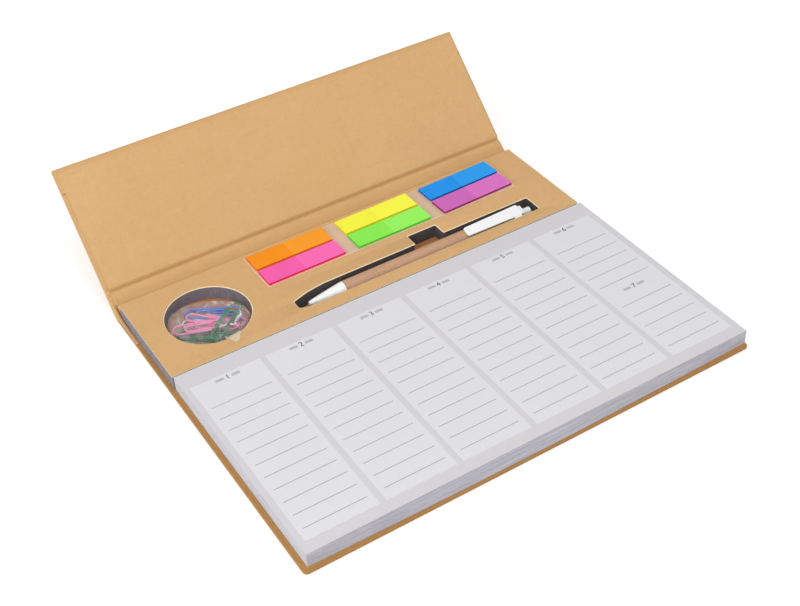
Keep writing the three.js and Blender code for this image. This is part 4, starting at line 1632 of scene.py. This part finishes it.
@dataclass
class IndexTabs:
    """Six stacks of film tabs on one strip of backing film."""

    left: float = 71.3
    front: float = 163.5
    top: float = 10.3
    film: float = 0.2
    width: float = 154.3
    depth: float = 28.2
    tab_width: float = 45.6
    tab_depth: float = 12.6
    tab_height: float = 1.3
    pitch: float = 53.4
    row_gap: float = 1.3
    margin: float = 0.8
    leaves: int = 8
    half_share: float = 0.48
    edge_shade: float = 0.9
    doubled_shade: float = 0.97
    face_shade: float = 0.35
    roughness: float = 0.5
    specular: float = 0.2

    def build(self, shop: Workshop, stack: Growth) -> None:
        """Build the backing strip and the six stacks.

        Args:
            shop: Where materials and pieces are kept.
            stack: Tree that stacks leaves.
        """
        strip = Draft()
        strip.slab((self.left, self.front, self.top), (self.width, self.depth, self.film), 0.5,
                   0.06, finishes=(1, 1, 0), margin=0.26)
        strip.finishes[-1] = 0
        finishes = (shop.coat(STRIP), shop.coat(STRIP_EDGE))
        shop.hang(strip.finished("tab_backing_film", finishes), "root", "clear_film",
                  ["tab_backing"])
        for order, colour in enumerate(TAB_COLOURS):
            self.build_stack(shop, stack, colour, order)

    def build_stack(self, shop: Workshop, stack: Growth, colour: TabColour, order: int) -> None:
        """Build one stack: leaves below, and a top leaf in two tones."""
        x = self.left + self.margin + colour.column * self.pitch
        y = self.front + self.margin + colour.row * (self.tab_depth + self.row_gap)
        z = self.top + self.film
        leaf = self.tab_height / (self.leaves + 1)
        line = tuple(int(part * self.edge_shade) for part in colour.edge)
        edge = shop.coat(LeafEdgeFinish(f"{colour.name} tab edges", colour.edge, line,
                                        roughness=0.45, lines=9000.0))
        shade = tuple(int(blend_value(light, deep, self.face_shade))
                      for light, deep in zip(colour.face, colour.deeper))
        face = shop.coat(PlasticFinish(f"{colour.name} film", colour.face, shade,
                                       self.roughness, specular=self.specular))
        shade = tuple(int(part * self.doubled_shade) for part in colour.deeper)
        deeper = shop.coat(PlasticFinish(f"{colour.name} doubled film", colour.deeper, shade,
                                         self.roughness, specular=self.specular))
        middle = Vector((x + self.tab_width / 2, y + self.tab_depth / 2, 0))
        turn = (Matrix.Translation(middle) @ Matrix.Rotation(math.radians(colour.turn_deg), 4, "Z")
                @ Matrix.Translation(-middle))
        tabs = Draft(turn)
        grown = stack.grow({"Count": self.leaves, "Width": self.tab_width - 0.3,
                            "Depth": self.tab_depth - 0.2, "Leaf": leaf, "Spread": 0.12,
                            "Low Corner": (x + 0.15, y + 0.1, z), "Seed": 30 + order,
                            "Material": edge})
        tabs.absorb(grown, 0)
        split = x + self.tab_width * self.half_share
        high = z + self.leaves * leaf
        tabs.slab((x + 0.1, y + 0.06, high), (self.tab_width - 0.2, self.tab_depth - 0.12,
                                               leaf * 0.8), 0.15, 0.02, (0, 1, 0), 0.05)
        tabs.slab((x + 0.1, y + 0.06, high + leaf * 0.4), (split - x - 0.1, self.tab_depth - 0.12,
                                                           leaf * 0.6), 0.15, 0.02, (0, 2, 0), 0.05)
        shop.hang(tabs.finished(f"{colour.name}_tab_stack", (edge, face, deeper), 30), "root",
                  f"tab_{colour.name}", [f"tab_{colour.name}"])


@dataclass
class BallPen:
    """A push-button ball pen with white plastic ends and a kraft barrel."""

    tip: tuple[float, float, float] = (83.8, 144.6, 6.5)
    roll_deg: float = 18.0
    radius: float = 4.25
    nose: float = 20.5
    joint: float = 0.3
    barrel: float = 101.2
    wall: float = 0.85
    cap: float = 10.5
    button_reach: float = 5.2
    button_radius: float = 2.25
    clip_length: float = 38.0
    clip_width: float = 7.0
    clip_air: float = 0.45
    clip_thickness: float = 0.9
    clip_end: float = 3.0
    spigot_radius: float = 3.1
    spigot_length: float = 6.0
    tip_bore: float = 0.7
    nose_bore: float = 2.2
    nose_bore_start: float = 12.5
    cap_bore: float = 2.6
    cap_room: float = 3.3
    cap_wall: float = 1.6
    collar_radius: float = 2.95
    collar: tuple[float, float] = (6.8, 8.3)

    def frame(self, along: float) -> Matrix:
        """Return the frame at a distance from the tip, with X along the pen."""
        return (Matrix.Translation(self.tip) @ Matrix.Rotation(math.radians(self.roll_deg), 4, "X")
                @ Matrix.Translation((along, 0, 0)))

    def build(self, shop: Workshop) -> None:
        """Build the nose, the barrel, the cap with its clip and the button.

        Args:
            shop: Where materials and pieces are kept.
        """
        white = shop.coat(WHITE)
        nose = Draft(self.frame(0))
        outside = [(0.0, self.tip_bore), (0.0, 0.9), (0.12, 1.06), (0.35, 1.2)]
        for step in range(1, 9):
            share = step / 8
            outside.append((blend_value(0.35, self.nose - 0.25, share),
                            blend_value(1.2, self.radius, share ** 0.86)))
        outside.extend([(self.nose - 0.08, self.radius - 0.05), (self.nose, self.radius - 0.2),
                        (self.nose, self.spigot_radius),
                        (self.nose + self.spigot_length, self.spigot_radius),
                        (self.nose + self.spigot_length, self.nose_bore),
                        (self.nose_bore_start, self.nose_bore),
                        (self.nose_bore_start, self.tip_bore)])
        nose.turned(outside, closed=True)
        shop.hang(nose.finished("pen_white_nose", (white,), 35), "root", "white_plastic",
                  ["pen_nose"])
        tube = Draft(self.frame(self.nose + self.joint))
        inner = self.radius - self.wall
        tube.turned(((0, inner), (0, self.radius - 0.12), (0.12, self.radius),
                     (self.barrel - 0.12, self.radius), (self.barrel, self.radius - 0.12),
                     (self.barrel, inner)), closed=True)
        shop.hang(tube.finished("pen_kraft_barrel", (shop.coat(Kraft.TUBE),), 40), "root",
                  "kraft_tube", ["pen_barrel"])
        self.build_cap(shop, white)
        button = Draft(self.frame(self.nose + self.barrel + 2 * self.joint))
        end = self.cap + self.button_reach
        r = self.button_radius
        low, high = self.collar
        button.turned(((low, 0), (low, self.collar_radius), (high, self.collar_radius), (high, r),
                       (end - 0.7, r), (end - 0.45, r - 0.05), (end - 0.2, r - 0.2),
                       (end - 0.05, r - 0.45), (end, r - 0.8), (end, 0)))
        shop.hang(button.finished("pen_push_button", (white,), 35), "pen_push", "white_plastic",
                  ["pen_button"])

    def build_cap(self, shop: Workshop, white: bpy.types.Material) -> None:
        """Build the white cap, with the flat clip that stands off the barrel."""
        cap = Draft(self.frame(self.nose + self.barrel + 2 * self.joint))
        r = self.radius
        cap.turned(((-self.spigot_length, self.cap_bore), (-self.spigot_length, self.spigot_radius),
                    (0, self.spigot_radius), (0, r - 0.15), (0.15, r),
                    (self.cap - 3.2, r), (self.cap - 3.0, r - 0.25), (self.cap - 2.8, r - 0.3),
                    (self.cap - 0.3, r - 0.45), (self.cap, r - 0.8), (self.cap, self.cap_bore),
                    (self.cap - self.cap_wall, self.cap_bore),
                    (self.cap - self.cap_wall, self.cap_room), (0.3, self.cap_room),
                    (0.3, self.cap_bore)), closed=True)
        start = self.cap - self.clip_length
        under = r + self.clip_air

        def taper(place: Vector) -> Vector:
            """Narrow the clip towards its tip and let the tip sink to the barrel."""
            share = (self.cap - place.x) / self.clip_length
            return Vector((place.x, place.y * (1 - 0.2 * share), place.z - 0.38 * share ** 2))

        cap.warp = taper
        cap.slab((start, -self.clip_width / 2, under),
                 (self.clip_length - self.clip_end, self.clip_width, self.clip_thickness), 1.3,
                 0.3, margin=0.4)
        cap.warp = None
        cap.slab((self.cap - 5, -1.75, 3.6), (3.4, 3.5, under - 3.3), 0.3, 0.1, margin=0.1)
        cap.slab((self.cap - 5.2, -2.7, r - 0.9), (4.4, 5.4, 1.3), 0.9, 0.3, margin=0.1)
        cap.slab((self.cap - 8.2, -self.clip_width / 2 - 0.6, under - 1.1), (4.6, 1.5, 1.5), 0.5,
                 0.3, margin=0.1)
        shop.hang(cap.finished("pen_white_cap", (white,), 35), "root", "white_plastic",
                  ["pen_cap"])


class ClipColour(Enum):
    """The coatings of the paper clips."""

    GREEN = PlasticFinish("green coating", (22, 132, 66), (14, 112, 54), 0.28)
    BLUE = PlasticFinish("blue coating", (96, 134, 224), (80, 116, 210), 0.28)
    WHITE = PlasticFinish("white coating", (244, 244, 244), (236, 236, 238), 0.28)
    PINK = PlasticFinish("pink coating", (255, 140, 194), (250, 118, 180), 0.28)


@dataclass(frozen=True)
class ClipPlace:
    """Where one clip lies: its layer, the layer's turn, and its shift along and across it."""

    name: str
    number: int
    colour: ClipColour
    layer: int
    turn_deg: float
    along: float
    across: float
    turned: bool


CLIP_PLACES = (
    ClipPlace("green", 1, ClipColour.GREEN, 0, -41, 0.0, -1.0, False),
    ClipPlace("white", 1, ClipColour.WHITE, 0, -41, 0.0, 0.0, True),
    ClipPlace("blue", 1, ClipColour.BLUE, 0, -41, 0.0, 1.0, False),
    ClipPlace("green", 2, ClipColour.GREEN, 1, -30, -1.0, -1.0, True),
    ClipPlace("pink", 1, ClipColour.PINK, 1, -30, 3.9, 0.0, False),
    ClipPlace("blue", 2, ClipColour.BLUE, 1, -30, 1.0, 1.0, True),
    ClipPlace("pink", 2, ClipColour.PINK, 2, -50, 1.5, 0.13, False),
    ClipPlace("pink", 3, ClipColour.PINK, 3, -21, -4.2, -0.58, True),
    ClipPlace("green", 3, ClipColour.GREEN, 4, 37, 0.4, -1.13, False),
)


@dataclass
class ClipPouch:
    """Nine coated wire clips in a crumpled pouch of clear film."""

    centre: tuple[float, float] = (36.4, 162.2)
    turn_deg: float = -28.0
    width: float = 42.4
    depth: float = 40.4
    floor: float = 2.3
    full_height: float = 9.3
    back_inset: float = 6.5
    rim: float = 10.35
    wire: float = 0.5
    length: float = 28.0
    outer: float = 3.3
    leg_gap: float = 1.3
    start: float = 9.0
    inner_stop: float = 20.0
    end: float = 8.0
    pitch: float = 8.2
    layer_pitch: float = 1.3
    first_layer: float = 3.17
    seam: float = 6.4
    seam_wave: float = 1.4
    seam_floor: float = 3.2
    rumple: float = 0.4
    cells: int = 84
    film: float = 0.05
    corner_inside: tuple[Outline, float] = (((37.0, 142.2), (43.8, 143.4)), -0.85)
    corner_crest: tuple[Outline, float] = (((36.6, 139.8), (44.4, 141.5)), 0.25)
    corner_outside: tuple[Outline, float] = (((38.6, 135.8), (40.8, 136.4)), 0.05)

    def frame(self, turn_deg: float, height: float = 0.0) -> Matrix:
        """Return a frame in the middle of the hole, turned and at a height."""
        return (Matrix.Translation((*self.centre, height))
                @ Matrix.Rotation(math.radians(turn_deg), 4, "Z"))

    def clip_outline(self) -> Outline:
        """Return the path of one clip's wire, bent as loops inside each other."""
        inner = self.outer - self.leg_gap
        far = self.length - self.outer
        near = (inner + self.outer) / 2
        middle = (inner - self.outer) / 2
        path = [(self.start, self.outer), (blend_value(self.start, far, 0.5), self.outer)]
        path += arc(far, 0, self.outer, 90, -90)
        path += [(blend_value(far, near, share / 4), -self.outer) for share in (1, 2, 3)]
        path += arc(near, middle, near, -90, -270)
        path += [(blend_value(near, self.inner_stop, share / 3), inner) for share in (1, 2)]
        path += arc(self.inner_stop, 0, inner, 90, -90)
        path += [(blend_value(self.inner_stop, self.end, 0.5), -inner), (self.end, -inner)]
        return [(x - self.length / 2, y) for x, y in path]

    def build(self, shop: Workshop, wires: Growth) -> None:
        """Build the clips and the pouch.

        Args:
            shop: Where materials and pieces are kept.
            wires: Tree that gives a path a round section.
        """
        outline = self.clip_outline()
        for place in CLIP_PLACES:
            height = self.first_layer + place.layer * self.layer_pitch
            frame = (self.frame(place.turn_deg, height)
                     @ Matrix.Translation((place.along, place.across * self.pitch, 0)))
            if place.turned:
                frame = frame @ Matrix.Rotation(math.pi, 4, "Z")
            path = wire_path([Vector((x, y, 0)) for x, y in outline])
            coat = shop.coat(place.colour)
            clip = Draft(frame)
            clip.absorb(wires.grow({"Radius": self.wire, "Sides": 12, "Material": coat}, path))
            name = f"{place.name}_wire_clip_{place.number}"
            shop.hang(clip.finished(name, (coat,), 50), "root", f"clip_{place.name}",
                      [f"clip_{place.name}_{place.number}"])
        self.build_film(shop)

    def film_height(self, x: float, y: float, fullness: float) -> float:
        """Return the height of the upper film over a place in the hole."""
        rumple = noise.ridged_multi_fractal(Vector((x * 0.13, y * 0.1, 1.3)), 0.9, 2.1, 4, 0.9, 1.7)
        seam = self.seam + self.seam_wave * noise.noise(Vector((x, y, 4)) * 0.12)
        full = self.full_height + self.rumple * (rumple - 1.2)
        return blend_value(seam, full, fullness ** 0.4)

    def build_film(self, shop: Workshop) -> None:
        """Build the crumpled pouch, closed all round, and its corner over the rim."""
        film = Draft(self.frame(self.turn_deg))
        cells = self.cells
        upper, lower = [], []
        for row in range(cells + 1):
            upper_row, lower_row = [], []
            for column in range(cells + 1):
                a, b = 2 * column / cells - 1, 2 * row / cells - 1
                x = a * math.sqrt(1 - b * b / 2) * self.width / 2
                y = b * math.sqrt(1 - a * a / 2) * self.depth / 2
                if y > 0:
                    y *= 1 - self.back_inset / (self.depth / 2)
                wave = 1 - 0.015 * (1 + noise.noise(Vector((x, y, 7)) * 0.22))
                x, y = x * wave, y * wave
                edge = row in (0, cells) or column in (0, cells)
                fullness = 0.0 if edge else (1 - a ** 8) * (1 - b ** 8)
                upper_row.append(film.point(x, y, self.film_height(x, y, fullness)))
                low = blend_value(self.seam_floor, self.floor, fullness ** 0.4)
                lower_row.append(upper_row[-1] if edge else film.point(x, y, low))
            upper.append(upper_row)
            lower.append(lower_row)
        for row in range(cells):
            film.bridge(upper[row], upper[row + 1], closed=False)
            film.bridge(lower[row + 1], lower[row], closed=False)
        self.build_corner(film)
        finishes = (shop.coat(FILM), shop.coat(FOLDED_FILM))
        shop.hang(film.finished("clip_pouch_film", finishes, 35), "root", "clear_film",
                  ["clip_bag"])

    def build_corner(self, film: Draft) -> None:
        """Add the film corner that lies over the hole's rim towards the pad."""
        film.frame = Matrix.Identity(4)
        rows = []
        inside, crest, outside = ([Vector((x, y, self.rim + lift)) for x, y in ends]
                                  for ends, lift in (self.corner_inside, self.corner_crest,
                                                     self.corner_outside))
        for step in range(11):
            share = step / 5
            pairs = zip(inside, crest) if share < 1 else zip(crest, outside)
            ends = [start.lerp(end, share % 1 if share < 2 else 1.0) for start, end in pairs]
            rows.append([ends[0].lerp(ends[1], column / 6) for column in range(7)])
        top = [[film.point(*place) for place in row] for row in rows]
        thin = Vector((0, 0, self.film))
        low = [[film.point(*(place - thin)) for place in row] for row in rows]
        for row in range(10):
            film.bridge(top[row], top[row + 1], 1, closed=False)
            film.bridge(low[row + 1], low[row], 1, closed=False)
        for side in (0, 6):
            film.bridge([row[side] for row in top], [row[side] for row in low], 1, closed=False)
        film.bridge(top[0], low[0], 1, closed=False)
        film.bridge(top[10], low[10], 1, closed=False)


# The studio and the order of work.


@dataclass(frozen=True)
class Lamp:
    """A square lamp that faces the planner: where it hangs in metres, its side and its power."""

    name: str
    place: tuple[float, float, float]
    size: float
    watts: float

    def hang(self) -> None:
        """Put the lamp in the scene."""
        light = bpy.data.lights.new(self.name, "AREA")
        light.size = self.size
        light.energy = self.watts
        holder = bpy.data.objects.new(self.name, light)
        holder.location = self.place
        holder.rotation_euler = (-Vector(self.place)).to_track_quat("-Z", "Y").to_euler()
        bpy.context.scene.collection.objects.link(holder)


@dataclass
class Studio:
    """A pale floor, soft light and the photograph's camera."""

    azimuth_deg: float = -30.49
    elevation_deg: float = 40.13
    roll_deg: float = -2.88
    lens: float = 60.0
    eye: tuple[float, float, float] = (-138.3, -323.0, 438.7)
    floor_reach: float = 3.0
    floor_colour: Colour = (246, 246, 246)
    floor_glow: float = 0.3
    sky: float = 0.6
    lamps: tuple[Lamp, ...] = (Lamp("left lamp", (-1.1, -0.35, 0.55), 0.8, 5.6),
                               Lamp("front lamp", (-0.1, -0.55, 1.15), 0.9, 4.7))

    def build(self) -> None:
        """Set up the floor, the light, the camera and the colour handling."""
        self.build_floor()
        self.build_light()
        self.build_camera()
        bpy.context.scene.view_settings.view_transform = "Standard"

    def build_floor(self) -> None:
        """Lay a wide pale floor that shows white to the camera and keeps the shadow."""
        mesh = bpy.data.meshes.new("studio_floor")
        reach = self.floor_reach
        mesh.from_pydata([(-reach, -reach, 0), (reach, -reach, 0), (reach, reach, 0),
                          (-reach, reach, 0)], [], [(0, 1, 2, 3)])
        floor = bpy.data.objects.new("studio_floor", mesh)
        bpy.context.scene.collection.objects.link(floor)
        surface = Surface("pale floor")
        surface.feed("Base Color", linear(self.floor_colour))
        surface.feed("Roughness", 0.9)
        surface.feed("Specular IOR Level", 0.1)
        surface.feed("Emission Color", (1, 1, 1, 1))
        surface.feed("Emission Strength", surface.graph.times(surface.graph.background_rays(),
                                                              self.floor_glow))
        mesh.materials.append(surface.material)

    def build_light(self) -> None:
        """Light the scene evenly, with the lamps at the upper left and in front."""
        world = bpy.data.worlds.new("soft studio")
        bpy.context.scene.world = world
        world.use_nodes = True
        graph = Graph(world.node_tree)
        strength = graph.stretch(graph.background_rays(), 0.0, 1.0, self.sky, 1.0)
        background = graph.add("ShaderNodeBackground", {0: (1, 1, 1, 1), 1: strength})
        output = graph.add("ShaderNodeOutputWorld")
        graph.tree.links.new(background.outputs[0], output.inputs[0])
        for lamp in self.lamps:
            lamp.hang()

    def build_camera(self) -> None:
        """Set the camera where the photograph was taken from."""
        azimuth, elevation, roll = (math.radians(angle) for angle in
                                    (self.azimuth_deg, self.elevation_deg, self.roll_deg))
        back = Vector((math.sin(azimuth) * math.cos(elevation),
                       -math.cos(azimuth) * math.cos(elevation), math.sin(elevation)))
        right = (-back).cross(Vector((0, 0, 1))).normalized()
        up = right.cross(-back)
        level_right = math.cos(roll) * right + math.sin(roll) * up
        level_up = -math.sin(roll) * right + math.cos(roll) * up
        data = bpy.data.cameras.new("photo camera")
        data.lens = self.lens
        data.sensor_width = 36.0
        data.sensor_fit = "HORIZONTAL"
        camera = bpy.data.objects.new("photo camera", data)
        turn = Matrix((level_right, level_up, back)).transposed().to_4x4()
        place = (Vector(self.eye) - PLAN_ORIGIN) * MM
        camera.matrix_world = Matrix.Translation(place) @ turn
        bpy.context.scene.collection.objects.link(camera)
        bpy.context.scene.camera = camera


def dress_node(frame: dict, node: str, material: bpy.types.Material) -> None:
    """Give a CAD node that stays its material."""
    mesh = frame["nodes"][node].data
    mesh.materials.clear()
    mesh.materials.append(material)


def main() -> None:
    """Build the planner and its studio."""
    logging.basicConfig(level=logging.INFO, format="%(name)s %(message)s")
    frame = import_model()
    shop = Workshop()
    stack, rules, wires = leaf_stack_tree(), ruled_lines_tree(), wire_tree()
    CoverCase().build(shop)
    Tray().build(shop)
    WeeklyPad().build(shop, stack, rules)
    IndexTabs().build(shop, stack)
    BallPen().build(shop)
    ClipPouch().build(shop, wires)
    dress_node(frame, "pen_refill", shop.coat(REFILL))
    dress_node(frame, "pen_spring", shop.coat(STEEL))
    Studio().build()
    LOG.info("%d pieces", len(shop.done))


if __name__ == "__main__":
    main()
